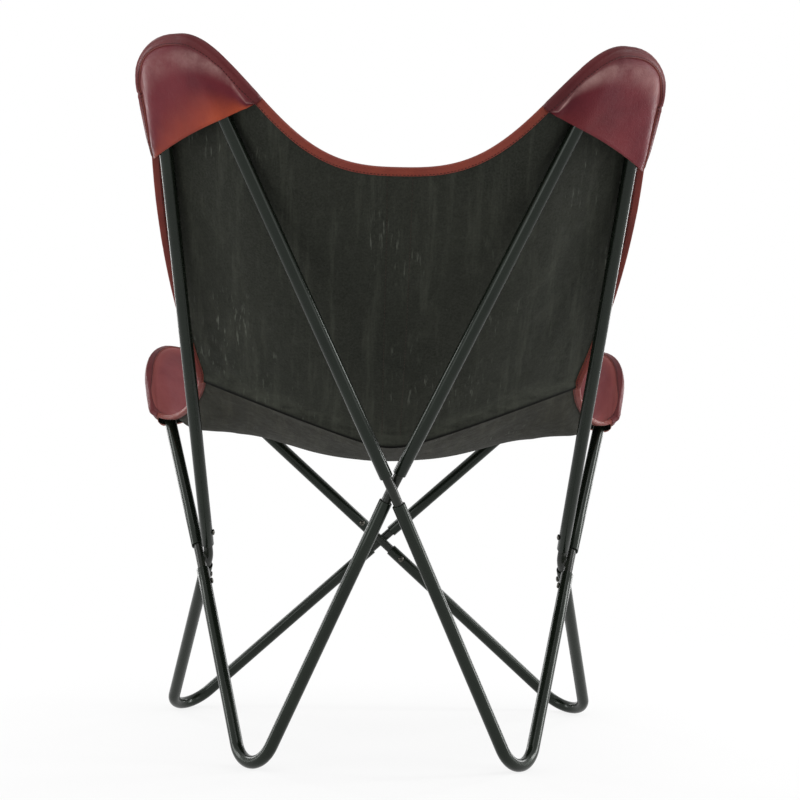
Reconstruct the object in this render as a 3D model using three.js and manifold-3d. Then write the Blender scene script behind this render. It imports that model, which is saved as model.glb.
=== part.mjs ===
// Butterfly sling chair.
// Four bent tube loops stand on four bent tube legs, plugged together through four
// welded cross connectors, and a leather sling hangs by its pockets on the loops.
// Millimetres, +Z up. The sitter looks along +Y, so the back of the chair is at -Y.

import * as THREE from 'three';
import { mergeVertices } from 'three/addons/utils/BufferGeometryUtils.js';
import Module from 'manifold-3d';

const wasm = await Module();
wasm.setup();

// Steel tube and the rods that join it
const tubeOuter = 16.5;
const tubeWall = 1.5;
const rodDiameter = 12.2;
const weldSink = 0.6;
const rodReach = 62;
const tubeEndGap = 19;
const tubeSides = 14;
const rodSides = 12;

// Bend radii of the tube centre lines
const rearLoopBend = 38;
const frontLoopBend = 42;
const footBend = 42;
const footFlat = 0.5;

// Screws, one through each tube end into its rod
const screwFromEnd = 20;
const screwShank = 4;
const screwLength = 9;
const screwHead = 8;
const screwHeadHeight = 2.4;
const screwSocket = 3;
const screwSocketDepth = 1.3;
const holeClearance = 0.3;

// Where the straight tubes would meet if they were not bent round: half spans from the
// middle plane, distances along the chair and heights
const rearTop = { half: 290, along: -457, height: 970 };
const frontTop = { half: 345, along: 292, height: 560 };
const rearFoot = { half: 172, along: -180 };
const frontFoot = { half: 312, along: 310 };

// Crossings of the rods: at the back, at the front and at each side
const rearCrossing = { along: -267, height: 357 };
const frontCrossing = { along: 302, height: 249 };
const sideCrossing = { half: 242, along: 25, height: 247 };

// Leather
const leather = 3;
const seatGap = 0.3;
const bindingLeather = 1.4;
const bindingWidth = 9;
const bindingGap = 0.6;
const facetAllowance = 2;

// Sling outline: the top edge and front edge at the middle, and the crease between
// back and seat at its middle and at its ends
const topEdgeMiddle = { along: -365, height: 732 };
const frontEdgeMiddle = { along: 266, height: 408 };
const creaseMiddle = { along: -150, height: 404 };
const creaseEnd = { half: 246, along: -60, height: 484 };
const creaseRounding = 0.12;

// Side borders: how far their curves are drawn outwards, inwards and down at each end
const backSideBow = { upper: 4, lower: 12 };
const seatSideFront = { inwards: 29, down: 25 };
const seatSideRear = { outwards: 10, down: 38 };

// Slack of the seat: how far it hangs below the surface drawn between its borders, at the
// middle and near the sides
const seatSlack = { middle: 8, side: 100 };

// Pocket outlines in the plane of their loop: across towards the outer tube,
// down from the top of the loop's centre line
const rearPocket = {
  apex: { across: -8, down: -14.5 },
  shoulder: { across: 75, down: 55 },
  corner: { across: 85, down: 133 },
};
const frontPocket = {
  apex: { across: -4, down: -15 },
  bulge: { across: 56, down: -14 },
  shoulder: { across: 100, down: 88 },
};

// Free edge of each flap: the two points in its loop's plane that draw its curve
const rearFlap = { near: { across: -47, down: 80 }, far: { across: 13, down: 101 } };
const frontFlap = { near: { across: -55, down: 88 }, far: { across: 45, down: 118 } };
const pocketDepth = 110;
const innerLift = 13;
const roomReach = { inner: 32, apex: 16, outer: 24 };
const flapEndWidth = 10.5;
const bindingEndTrim = 0.5;
const creaseTrim = 2;

// Grid of the sling, as shares of the way from the middle to the side border, from the
// end border to the crease and from a flap's seam to its free edge
const columnPlaces = [
  0, 0.06, 0.12, 0.18, 0.24, 0.3, 0.36, 0.41, 0.455, 0.5,
  0.56, 0.62, 0.68, 0.74, 0.8, 0.85, 0.89, 0.93, 0.97, 1,
];
const rearPocketColumn = 9;
const frontPocketColumn = 10;
const pocketApex = columnPlaces[14];
const backRowPlaces = [
  0, 0.022, 0.055, 0.105, 0.175, 0.265, 0.35, 0.44, 0.53, 0.62, 0.71, 0.8, 0.88, 0.945, 1,
];
const rearSeamRows = 5;
const seatRowPlaces = [
  0, 0.02, 0.05, 0.1, 0.17, 0.26, 0.36, 0.47, 0.58, 0.69, 0.79, 0.88, 0.945, 1,
];
const frontSeamRows = 3;
const flapRowPlaces = [0, 0.1, 0.22, 0.42, 0.7, 1];

const blackPaint = { color: 0x1e211d, roughness: 0.42, metalness: 0.35 };
const zincScrew = { color: 0x8d8a84, roughness: 0.35, metalness: 0.9 };
const wineLeather = { color: 0x6e2d32, roughness: 0.55, metalness: 0 };
const bindingColour = { color: 0x824137, roughness: 0.5, metalness: 0 };

const group = new THREE.Group();
group.name = 'butterfly_sling_chair';

function vec(x, y, z) {
  return new THREE.Vector3(x, y, z);
}

function mix(a, b, t) {
  return a.clone().lerp(b, t);
}

function addMesh(name, geometry, look) {
  const mesh = new THREE.Mesh(geometry, new THREE.MeshStandardMaterial(look));
  mesh.name = name;
  group.add(mesh);
}

// Joining and cutting

function toSolid(geometry) {
  const bare = new THREE.BufferGeometry();
  bare.setAttribute('position', geometry.getAttribute('position').clone());
  if (geometry.index) {
    bare.setIndex(geometry.index.clone());
  }
  const merged = mergeVertices(bare, 1e-4);
  const mesh = new wasm.Mesh({
    numProp: 3,
    vertProperties: new Float32Array(merged.getAttribute('position').array),
    triVerts: new Uint32Array(merged.index.array),
  });
  return new wasm.Manifold(mesh);
}

function toGeometry(solid) {
  const mesh = solid.getMesh();
  const geometry = new THREE.BufferGeometry();
  geometry.setAttribute('position', new THREE.BufferAttribute(mesh.vertProperties.slice(), 3));
  geometry.setIndex(new THREE.BufferAttribute(mesh.triVerts.slice(), 1));
  geometry.computeVertexNormals();
  return geometry;
}

// A path that is swept through given stations instead of evenly spaced ones, so that a
// long straight tube takes one step and a bend takes many

class StationPath extends THREE.Curve {
  constructor(stations) {
    super();
    this.stations = stations;
  }

  index(u) {
    return Math.round(u * (this.stations.length - 1));
  }

  getPointAt(u) {
    return this.stations[this.index(u)].clone();
  }

  getTangentAt(u) {
    const i = this.index(u);
    const last = this.stations.length - 1;
    const here = this.stations[i];
    const before = this.stations[Math.max(i - 1, 0)];
    const after = this.stations[Math.min(i + 1, last)];
    const tangent = vec(0, 0, 0);
    if (i > 0) {
      tangent.add(here.clone().sub(before).normalize());
    }
    if (i < last) {
      tangent.add(after.clone().sub(here).normalize());
    }
    return tangent.normalize();
  }
}

function ring(radius, sides) {
  const points = [];
  for (let i = 0; i < sides; i += 1) {
    const angle = (2 * Math.PI * i) / sides;
    points.push(new THREE.Vector2(radius * Math.cos(angle), radius * Math.sin(angle)));
  }
  return points;
}

function sweep(stations, outerRadius, innerRadius, sides) {
  const shape = new THREE.Shape(ring(outerRadius, sides));
  if (innerRadius > 0) {
    shape.holes.push(new THREE.Path(ring(innerRadius, sides)));
  }
  return new THREE.ExtrudeGeometry(shape, {
    steps: stations.length - 1,
    extrudePath: new StationPath(stations),
  });
}

// The rounded corner between two straight arms that leave one vertex

function corner(vertex, towardsA, towardsB, radius) {
  const a = towardsA.clone().sub(vertex).normalize();
  const b = towardsB.clone().sub(vertex).normalize();
  const half = Math.acos(a.dot(b)) / 2;
  const axis = a.clone().add(b).normalize();
  const across = b.clone().addScaledVector(axis, -b.dot(axis)).normalize();
  const centre = vertex.clone().addScaledVector(axis, radius / Math.sin(half));
  return { a, b, half, axis, across, centre, radius };
}

function cornerPoint(bend, turn) {
  return bend.centre.clone()
    .addScaledVector(bend.axis, -bend.radius * Math.cos(turn))
    .addScaledVector(bend.across, bend.radius * Math.sin(turn));
}

function cornerArc(bend, steps) {
  const sweepHalf = Math.PI / 2 - bend.half;
  const points = [];
  for (let i = 0; i <= steps; i += 1) {
    points.push(cornerPoint(bend, sweepHalf * (2 * i / steps - 1)));
  }
  return points;
}

// Crossings. Two rods lie one across the other, so their centre lines pass each other
// at a lap. The rod from the rear left loop passes behind, and at the sides the rods
// of the rear loops pass inside.

const lap = rodDiameter - weldSink;

function sidePoint(side, place, height) {
  return vec(side * place.half, place.along, height);
}

const topRear = (side) => sidePoint(side, rearTop, rearTop.height);
const topFront = (side) => sidePoint(side, frontTop, frontTop.height);
const crossSide = (side) => sidePoint(side, sideCrossing, sideCrossing.height);
const crossRear = vec(0, rearCrossing.along, rearCrossing.height);
const crossFront = vec(0, frontCrossing.along, frontCrossing.height);

function lapShift(cross, endA, endB, inside) {
  const normal = endA.clone().sub(cross).cross(endB.clone().sub(cross)).normalize();
  if (normal.dot(inside) < 0) {
    normal.negate();
  }
  return normal.multiplyScalar(lap / 2);
}

const inwards = vec(0, 1, 0);
const rearShift = lapShift(crossRear, topRear(-1), topRear(1), inwards);
const frontShift = lapShift(crossFront, topFront(-1), topFront(1), inwards);

// Each bent tube has an end on the rear or front crossing and an end on a side crossing

function endCrossing(isRear, side, isLoop) {
  const cross = isRear ? crossRear : crossFront;
  const shift = isRear ? rearShift : frontShift;
  const fromLeftTop = isLoop ? side < 0 : side > 0;
  return cross.clone().addScaledVector(shift, fromLeftTop ? -1 : 1);
}

function sideCrossingOf(isRear, side, isLoop) {
  const cross = crossSide(side);
  const middle = vec(-side, 0, 0);
  const shift = lapShift(cross, topRear(side), topFront(side), middle);
  const fromRearTop = isRear === isLoop;
  return cross.addScaledVector(shift, fromRearTop ? 1 : -1);
}

// The foot vertex is lowered until the bend's outside comes down to the floor, and the
// tube is then ground flat there

function footVertex(side, place, endA, endB) {
  const vertex = vec(side * place.half, place.along, 0);
  for (let i = 0; i < 12; i += 1) {
    const bend = corner(vertex, endA, endB, footBend);
    const lowest = Math.min(...cornerArc(bend, 40).map((point) => point.z));
    vertex.z += tubeOuter / 2 - footFlat - lowest;
  }
  return vertex;
}

function sideName(side) {
  return side < 0 ? 'left' : 'right';
}

function cornerName(isRear, side) {
  return `${isRear ? 'rear' : 'front'}_${sideName(side)}`;
}

const bentTubes = [];
for (const isRear of [true, false]) {
  for (const side of [-1, 1]) {
    for (const isLoop of [true, false]) {
      const endA = endCrossing(isRear, side, isLoop);
      const endB = sideCrossingOf(isRear, side, isLoop);
      let vertex = isRear ? topRear(side) : topFront(side);
      let radius = isRear ? rearLoopBend : frontLoopBend;
      if (!isLoop) {
        vertex = footVertex(side, isRear ? rearFoot : frontFoot, endA, endB);
        radius = footBend;
      }
      const name = cornerName(isRear, side);
      const bend = corner(vertex, endA, endB, radius);
      bentTubes.push({ name, isRear, side, isLoop, endA, endB, vertex, bend });
    }
  }
}

// Screws

function turned(geometry, at, direction) {
  const turn = new THREE.Quaternion().setFromUnitVectors(vec(0, 1, 0), direction);
  geometry.applyQuaternion(turn);
  geometry.translate(at.x, at.y, at.z);
  return geometry;
}

function screwGeometry() {
  const head = screwHead / 2;
  const profile = [
    [0, -screwLength],
    [screwShank * 0.3, -screwLength],
    [screwShank / 2, -screwLength + 1],
    [screwShank / 2, 0],
    [head, 0],
    [head, screwHeadHeight * 0.3],
    [head * 0.82, screwHeadHeight * 0.75],
    [head * 0.5, screwHeadHeight],
    [0, screwHeadHeight],
  ];
  const body = new THREE.LatheGeometry(profile.map(([r, h]) => new THREE.Vector2(r, h)), 8);
  const socket = new THREE.CylinderGeometry(screwSocket / 2, screwSocket / 2, 2 * screwSocketDepth, 6);
  socket.translate(0, screwHeadHeight, 0);
  return toGeometry(toSolid(body).subtract(toSolid(socket)));
}

// The screw of one tube end: it stands square on the tube and faces the inside of the chair

function screwSeat(cross, arm, inside) {
  const direction = inside.clone().addScaledVector(arm, -inside.dot(arm)).normalize();
  const onAxis = cross.clone().addScaledVector(arm, tubeEndGap + screwFromEnd);
  return { direction, onAxis };
}

function screwHole(seat, depth) {
  const radius = screwShank / 2 + holeClearance;
  const length = tubeOuter + depth;
  const hole = new THREE.CylinderGeometry(radius, radius, length, 10);
  hole.translate(0, length / 2 - depth, 0);
  return toSolid(turned(hole, seat.onAxis, seat.direction));
}

const headUnderside = tubeOuter / 2 + seatGap;
const holeDepth = screwLength + 1 - headUnderside;

for (const tube of bentTubes) {
  const kind = tube.isLoop ? 'loop' : 'leg';
  const inside = vec(0, tube.isRear ? 1 : -1, 0);
  const armA = tube.vertex.clone().sub(tube.endA).normalize();
  const armB = tube.vertex.clone().sub(tube.endB).normalize();
  tube.seats = {
    end: screwSeat(tube.endA, armA, inside),
    side: screwSeat(tube.endB, armB, vec(-tube.side, 0, 0)),
  };
  const stations = [
    tube.endA.clone().addScaledVector(armA, tubeEndGap),
    ...cornerArc(tube.bend, 8),
    tube.endB.clone().addScaledVector(armB, tubeEndGap),
  ];
  let solid = toSolid(sweep(stations, tubeOuter / 2, tubeOuter / 2 - tubeWall, tubeSides));
  for (const seat of [tube.seats.end, tube.seats.side]) {
    solid = solid.subtract(screwHole(seat, 0));
  }
  if (!tube.isLoop) {
    const floor = new THREE.BoxGeometry(4 * footBend, 4 * footBend, 2 * tubeOuter);
    floor.translate(tube.vertex.x, tube.vertex.y, -tubeOuter);
    solid = solid.subtract(toSolid(floor));
  }
  addMesh(`${tube.name}_${kind}`, toGeometry(solid), blackPaint);
  for (const [where, seat] of Object.entries(tube.seats)) {
    const at = seat.onAxis.clone().addScaledVector(seat.direction, headUnderside);
    const screw = turned(screwGeometry(), at, seat.direction);
    addMesh(`${tube.name}_${kind}_${where}_screw`, screw, zincScrew);
  }
}

// Cross connectors: two rods welded where they cross, each bent there as far as the two
// tubes it joins ask for

function rodThrough(upper, lower, seatName) {
  const cross = seatName === 'end' ? upper.endA : upper.endB;
  const up = upper.vertex.clone().sub(cross).normalize();
  const down = lower.vertex.clone().sub(cross).normalize();
  const reach = tubeEndGap + rodReach;
  const ease = 8;
  const stations = [
    cross.clone().addScaledVector(up, reach),
    cross.clone().addScaledVector(up, ease),
    cross.clone(),
    cross.clone().addScaledVector(down, ease),
    cross.clone().addScaledVector(down, reach),
  ];
  let rod = toSolid(sweep(stations, rodDiameter / 2, 0, rodSides));
  for (const tube of [upper, lower]) {
    rod = rod.subtract(screwHole(tube.seats[seatName], holeDepth));
  }
  return rod;
}

function tubeNamed(name, isLoop) {
  return bentTubes.find((tube) => tube.name === name && tube.isLoop === isLoop);
}

function connector(name, seatName, pairs) {
  const rods = pairs.map(([upper, lower]) => (
    rodThrough(tubeNamed(upper, true), tubeNamed(lower, false), seatName)
  ));
  addMesh(name, toGeometry(rods[0].add(rods[1])), blackPaint);
}

connector('rear_cross', 'end', [['rear_left', 'rear_right'], ['rear_right', 'rear_left']]);
connector('front_cross', 'end', [['front_left', 'front_right'], ['front_right', 'front_left']]);
connector('left_cross', 'side', [['rear_left', 'front_left'], ['front_left', 'rear_left']]);
connector('right_cross', 'side', [['rear_right', 'front_right'], ['front_right', 'rear_right']]);

// Sling pockets. Each is laid out in the plane of its loop; lift is the distance from
// that plane towards the sitter.

function pocketFrame(tube) {
  const normal = tube.bend.axis.clone().cross(tube.bend.across).normalize();
  if (normal.z < 0) {
    normal.negate();
  }
  const apex = cornerPoint(tube.bend, 0);
  const centreLine = [tube.endA, ...cornerArc(tube.bend, 24), tube.endB];
  return { apex, normal, centreLine, down: tube.bend.axis, across: tube.bend.across };
}

const pockets = {};
for (const tube of bentTubes) {
  if (tube.isLoop) {
    pockets[tube.name] = pocketFrame(tube);
  }
}

function pocketOf(isRear, side) {
  return pockets[cornerName(isRear, side)];
}

function pocketPoint(pocket, across, down, lift) {
  return pocket.apex.clone()
    .addScaledVector(pocket.across, across)
    .addScaledVector(pocket.down, down)
    .addScaledVector(pocket.normal, lift);
}

function bezier(points, t) {
  let level = points;
  while (level.length > 1) {
    level = level.slice(1).map((point, i) => mix(level[i], point, t));
  }
  return level[0].clone();
}

function smooth(t) {
  const c = Math.min(Math.max(t, 0), 1);
  return c * c * (3 - 2 * c);
}

const layer = leather + seatGap;
const seamLift = layer / 2;

function pocketColumn(isRear) {
  return isRear ? rearPocketColumn : frontPocketColumn;
}

function pocketStart(isRear) {
  return columnPlaces[pocketColumn(isRear)];
}

// Free edges: flat in the middle, steepest on the way up and flat again over the pocket.
// Where the pocket starts they stand off the loop's plane by the inner lift.

function freeEdge(t, middle, apex, pocket, start) {
  const climb = apex.z - middle.height;
  const height = (r) => middle.height + climb * (1 - Math.cos(Math.PI * r ** 1.5)) / 2;
  const { normal } = pocket;
  const from = vec(apex.x * start, pocket.apex.y, height(start)).sub(pocket.apex);
  const startRun = pocket.apex.y + (innerLift - from.dot(normal)) / normal.y - middle.along;
  const apexRun = apex.y - middle.along;
  const fourth = (startRun - apexRun * start ** 2) / (start ** 4 - start ** 2);
  const run = (apexRun - fourth) * t ** 2 + fourth * t ** 4;
  return vec(apex.x * t, middle.along + run, height(t));
}

// End borders of the two panels, s from 0 at the middle to 1 at the shoulder of the pocket

function topBorder(side, s) {
  const pocket = pocketOf(true, side);
  const { apex, shoulder } = rearPocket;
  if (s <= pocketApex) {
    const end = pocketPoint(pocket, apex.across, apex.down, seamLift);
    return freeEdge(s / pocketApex, topEdgeMiddle, end, pocket, pocketStart(true) / pocketApex);
  }
  const angle = (Math.PI / 2) * (s - pocketApex) / (1 - pocketApex);
  const across = apex.across + (shoulder.across - apex.across) * Math.sin(angle);
  const down = shoulder.down - (shoulder.down - apex.down) * Math.cos(angle);
  return pocketPoint(pocket, across, down, seamLift);
}

function frontBorder(side, s) {
  const pocket = pocketOf(false, side);
  const { apex, bulge, shoulder } = frontPocket;
  if (s <= pocketApex) {
    const end = pocketPoint(pocket, apex.across, apex.down, seamLift);
    return freeEdge(s / pocketApex, frontEdgeMiddle, end, pocket, pocketStart(false) / pocketApex);
  }
  const t = (s - pocketApex) / (1 - pocketApex);
  const flat = bezier([apex, bulge, shoulder].map((p) => vec(p.across, p.down, 0)), t);
  return pocketPoint(pocket, flat.x, flat.y, seamLift);
}

function creaseLine(side, s) {
  const e = creaseRounding;
  const rise = (Math.hypot(s, e) - e) / (Math.hypot(1, e) - e);
  return vec(
    side * creaseEnd.half * s,
    creaseMiddle.along + (creaseEnd.along - creaseMiddle.along) * s * s,
    creaseMiddle.height + (creaseEnd.height - creaseMiddle.height) * rise,
  );
}

// Side borders, v from 0 at the shoulder of the pocket to 1 at the end of the crease.
// The back follows the outside of its pocket first; the seat dips under the front tube.

function backSide(side, v) {
  const pocket = pocketOf(true, side);
  const { shoulder, corner: low } = rearPocket;
  const top = pocketPoint(pocket, shoulder.across, shoulder.down, seamLift);
  const pocketEnd = pocketPoint(pocket, low.across, low.down, seamLift);
  const share = backRowPlaces[rearSeamRows];
  if (v <= share) {
    return mix(top, pocketEnd, v / share);
  }
  const end = creaseLine(side, 1);
  const span = end.distanceTo(pocketEnd) / 3;
  const leave = crossSide(side).sub(topRear(side)).normalize();
  const arrive = vec(-side * 0.12, 0.72, -0.68).normalize();
  return bezier([
    pocketEnd,
    pocketEnd.clone().addScaledVector(leave, span).add(vec(side * backSideBow.upper, 0, 0)),
    end.clone().addScaledVector(arrive, -span).add(vec(side * backSideBow.lower, 0, 0)),
    end,
  ], (v - share) / (1 - share));
}

function seatSide(side, v) {
  const start = frontBorder(side, 1);
  const end = creaseLine(side, 1);
  const reach = start.y - end.y;
  return bezier([
    start,
    start.clone().add(vec(-side * seatSideFront.inwards, -reach * 0.06, -seatSideFront.down)),
    end.clone().add(vec(side * seatSideRear.outwards, reach * 0.36, -seatSideRear.down)),
    end,
  ], v);
}

// Room for a tube inside a pocket. A point of the sheet keeps a lift from the loop's plane
// that covers the tube, and that runs out to nothing outside the tube where the seam is.

function nearestOn(line, point) {
  let best = null;
  for (let i = 1; i < line.length; i += 1) {
    const step = line[i].clone().sub(line[i - 1]);
    const along = point.clone().sub(line[i - 1]).dot(step) / step.lengthSq();
    const at = mix(line[i - 1], line[i], Math.min(Math.max(along, 0), 1));
    const distance = at.distanceTo(point);
    if (best === null || distance < best.distance) {
      best = { at, distance, place: (i - 1) / (line.length - 2) };
    }
  }
  return best;
}

const tubeLift = tubeOuter / 2 + leather / 2 + seatGap + facetAllowance;

function clearTube(pocket, point, facing) {
  const height = point.clone().sub(pocket.apex).dot(pocket.normal);
  const flat = point.clone().addScaledVector(pocket.normal, -height);
  const { at, distance, place } = nearestOn(pocket.centreLine, flat);
  const core = pocketPoint(pocket, 0, pocketDepth, 0);
  const isInside = flat.clone().sub(at).dot(core.sub(at)) > 0;
  const { inner, apex, outer } = roomReach;
  const reach = apex + ((place < 0.5 ? inner : outer) - apex) * Math.abs(2 * place - 1);
  const share = isInside ? 0 : Math.min(distance / reach, 1);
  const room = tubeLift * (1 - share ** 2);
  if (facing * height < room) {
    point.addScaledVector(pocket.normal, facing * room - height);
  }
  return point;
}

// A border place: the point on the border and the point one binding width inside it

function inset(point, tangent, normal, towards, pocket) {
  const inwards = normal.clone().cross(tangent).normalize();
  if (inwards.dot(towards.clone().sub(point)) < 0) {
    inwards.negate();
  }
  return clearTube(pocket, point.clone().addScaledVector(inwards, bindingWidth), 1);
}

function borderTangent(border, side, at) {
  const step = 0.004;
  return border(side, Math.min(at + step, 1)).sub(border(side, Math.max(at - step, 0))).normalize();
}

function upwards(normal) {
  return normal.z < 0 ? normal.negate() : normal;
}

function endInset(border, isRear, side, s) {
  const pocket = pocketOf(isRear, side);
  const point = border(side, s);
  const tangent = borderTangent(border, side, Math.max(s, 0.004));
  const inPocket = pocketPoint(pocket, 0, pocketDepth, 0);
  const towards = mix(creaseLine(side, s), inPocket, smooth((s - 0.4) / 0.3));
  const free = upwards(tangent.clone().cross(creaseLine(side, s).sub(point)).normalize());
  const normal = free.lerp(pocket.normal, smooth((s - pocketStart(isRear) + 0.05) / 0.2));
  return inset(point, tangent, normal, towards, pocket);
}

function sideInset(border, isRear, side, v, seamEnd) {
  const pocket = pocketOf(isRear, side);
  const point = border(side, v);
  const tangent = borderTangent(border, side, v);
  const inPocket = pocketPoint(pocket, 0, pocketDepth, 0);
  const towards = mix(inPocket, vec(0, point.y, point.z), smooth(v / 0.3));
  const free = upwards(tangent.clone().cross(vec(-side, 0, 0)).normalize());
  const normal = pocket.normal.clone().lerp(free, smooth((v - seamEnd) / 0.2));
  return inset(point, tangent, normal, towards, pocket);
}

// How far a point of the seat hangs down, from its share of the way from the middle to the
// side and from the front border to the crease

function hang(across, along) {
  const depth = seatSlack.middle + seatSlack.side * across ** 2.2;
  return depth * (1 - across ** 10) * Math.sin(Math.PI * along ** 0.8) ** 1.3;
}

// A panel as a grid of points. Row 0 is the end border and the outermost columns are the
// side borders; a ring one binding width inside them bounds a patch blended from its edges.

function panelGrid(isRear, endBorder, sideBorder, rowPlaces, seamRows) {
  const rows = rowPlaces.length - 1;
  const last = columnPlaces.length - 1;
  const creaseInset = 1 - bindingWidth / creaseEnd.half;
  const seamEnd = rowPlaces[seamRows];
  const half = {};
  for (const side of [-1, 1]) {
    const ends = [];
    const bottoms = [];
    for (let k = 0; k < last; k += 1) {
      const s = k === last - 1 ? 1 : columnPlaces[k];
      ends.push(endInset(endBorder, isRear, side, s));
      bottoms.push(creaseLine(side, creaseInset * columnPlaces[k] / columnPlaces[last - 1]));
    }
    const sides = [null, ends[last - 1]];
    for (let j = 2; j < rows; j += 1) {
      sides.push(sideInset(sideBorder, isRear, side, rowPlaces[j], seamEnd));
    }
    sides.push(bottoms[last - 1]);
    half[side] = { ends, bottoms, sides };
  }
  const grid = [];
  for (let j = 0; j <= rows; j += 1) {
    const row = [];
    const w = (rowPlaces[j] - rowPlaces[1]) / (1 - rowPlaces[1]);
    for (let i = -last; i <= last; i += 1) {
      const side = i < 0 ? -1 : 1;
      const k = Math.abs(i);
      if (j === 0) {
        row.push(endBorder(side, columnPlaces[k]));
      } else if (k === last) {
        row.push(sideBorder(side, rowPlaces[j]));
      } else {
        const { ends, bottoms } = half[side];
        const u = (1 + side * columnPlaces[k] / columnPlaces[last - 1]) / 2;
        const point = mix(ends[k], bottoms[k], w);
        point.add(mix(half[-1].sides[j], half[1].sides[j], u));
        const upper = mix(half[-1].ends[last - 1], half[1].ends[last - 1], u);
        const lower = mix(half[-1].bottoms[last - 1], half[1].bottoms[last - 1], u);
        point.sub(mix(upper, lower, w));
        if (!isRear) {
          point.z -= hang(columnPlaces[k] / columnPlaces[last - 1], w);
        }
        row.push(j === rows ? point : clearTube(pocketOf(isRear, side), point, 1));
      }
    }
    grid.push(row);
  }
  return grid;
}

function gridNormals(grid) {
  const columns = grid[0].length - 1;
  return grid.map((row, j) => row.map((_, i) => {
    const sum = vec(0, 0, 0);
    for (const [dj, di] of [[-1, -1], [-1, 1], [1, -1], [1, 1]]) {
      const nextRow = grid[j + dj];
      if (nextRow && i + di >= 0 && i + di <= columns) {
        const downStep = nextRow[i].clone().sub(row[i]).multiplyScalar(dj);
        const acrossStep = row[i + di].clone().sub(row[i]).multiplyScalar(di);
        sum.add(downStep.normalize().cross(acrossStep.normalize()));
      }
    }
    return sum.normalize();
  }));
}

// A closed sheet from a grid and the offset of its two faces at each point

function sheetSolid(grid, offsets) {
  const rows = grid.length;
  const columns = grid[0].length;
  const position = [];
  for (const sign of [1, -1]) {
    for (let j = 0; j < rows; j += 1) {
      for (let i = 0; i < columns; i += 1) {
        const point = grid[j][i].clone().addScaledVector(offsets[j][i], sign);
        position.push(point.x, point.y, point.z);
      }
    }
  }
  const under = rows * columns;
  const at = (j, i) => j * columns + i;
  const index = [];
  for (let j = 0; j + 1 < rows; j += 1) {
    for (let i = 0; i + 1 < columns; i += 1) {
      const a = at(j, i);
      const b = at(j, i + 1);
      const c = at(j + 1, i);
      const d = at(j + 1, i + 1);
      index.push(a, c, b, b, c, d);
      index.push(under + a, under + b, under + c, under + b, under + d, under + c);
    }
  }
  const border = [];
  for (let i = 0; i + 1 < columns; i += 1) {
    border.push(at(0, i));
  }
  for (let j = 0; j + 1 < rows; j += 1) {
    border.push(at(j, columns - 1));
  }
  for (let i = columns - 1; i > 0; i -= 1) {
    border.push(at(rows - 1, i));
  }
  for (let j = rows - 1; j > 0; j -= 1) {
    border.push(at(j, 0));
  }
  border.forEach((a, k) => {
    const b = border[(k + 1) % border.length];
    index.push(a, b, under + a, b, under + b, under + a);
  });
  const geometry = new THREE.BufferGeometry();
  geometry.setAttribute('position', new THREE.Float32BufferAttribute(position, 3));
  geometry.setIndex(index);
  geometry.computeVertexNormals();
  return geometry;
}

function halfThickness(normals) {
  return normals.map((row) => row.map((normal) => normal.clone().multiplyScalar(leather / 2)));
}

// Where two pieces press on each other the softer one gives way: it is relieved by the
// shape of the harder one, grown by the seat gap. Loose crumbs of the cut are dropped.

function relieved(geometry, tools) {
  let solid = toSolid(geometry);
  for (const tool of tools) {
    solid = solid.subtract(tool);
  }
  const bodies = solid.decompose().sort((a, b) => b.volume() - a.volume());
  return toGeometry(bodies[0]);
}

function grownSheet(grid, offsets) {
  const share = 1 + 2 * seatGap / leather;
  const grown = offsets.map((row) => row.map((offset) => offset.clone().multiplyScalar(share)));
  return toSolid(sheetSolid(grid, grown));
}

function grownTube(tube) {
  const stations = [tube.endA, ...cornerArc(tube.bend, 8), tube.endB];
  return toSolid(sweep(stations, tubeOuter / 2 + seatGap, 0, tubeSides));
}

const back = panelGrid(true, topBorder, backSide, backRowPlaces, rearSeamRows);
const seat = panelGrid(false, frontBorder, seatSide, seatRowPlaces, frontSeamRows);
seat.forEach((row) => row.reverse());
const backNormals = gridNormals(back);
const seatNormals = gridNormals(seat);
const backOffsets = halfThickness(backNormals);
const seatOffsets = halfThickness(seatNormals);

// Back and seat meet at the crease in a mitred seam

const lastColumn = columnPlaces.length - 1;
const backEnd = backRowPlaces.length - 1;
const seatEnd = seatRowPlaces.length - 1;
for (let i = 0; i <= 2 * lastColumn; i += 1) {
  const m = 2 * lastColumn - i;
  const over = backNormals[backEnd][i];
  const under = seatNormals[seatEnd][m];
  const mitre = over.clone().add(under).normalize();
  const offset = mitre.clone().multiplyScalar(leather / 2 / mitre.dot(over));
  backOffsets[backEnd][i] = offset.clone();
  seatOffsets[seatEnd][m] = offset.clone();
  const forwards = under.clone().sub(over);
  forwards.addScaledVector(mitre, -forwards.dot(mitre)).normalize();
  back[backEnd][i].addScaledVector(forwards, -seatGap);
  seat[seatEnd][m].addScaledVector(forwards, seatGap);
}

const loopTools = bentTubes.filter((tube) => tube.isLoop).map(grownTube);
addMesh('back_panel', relieved(sheetSolid(back, backOffsets), loopTools), wineLeather);
addMesh('seat_panel', relieved(sheetSolid(seat, seatOffsets), loopTools), wineLeather);
const panelTools = [grownSheet(back, backOffsets), grownSheet(seat, seatOffsets)];

// Places along the border of a panel: the border point, the point inside it and the
// normals of the outer face at both. Columns are counted from the middle.

function placeOf(grid, normals, j, i, jIn, iIn) {
  return {
    edge: grid[j][i],
    inner: grid[jIn][iIn],
    edgeNormal: normals[j][i],
    innerNormal: normals[jIn][iIn],
  };
}

function panelOf(isRear) {
  return isRear
    ? { grid: back, normals: backNormals, turn: 1, rows: backEnd, seamRows: rearSeamRows }
    : { grid: seat, normals: seatNormals, turn: -1, rows: seatEnd, seamRows: frontSeamRows };
}

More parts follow.
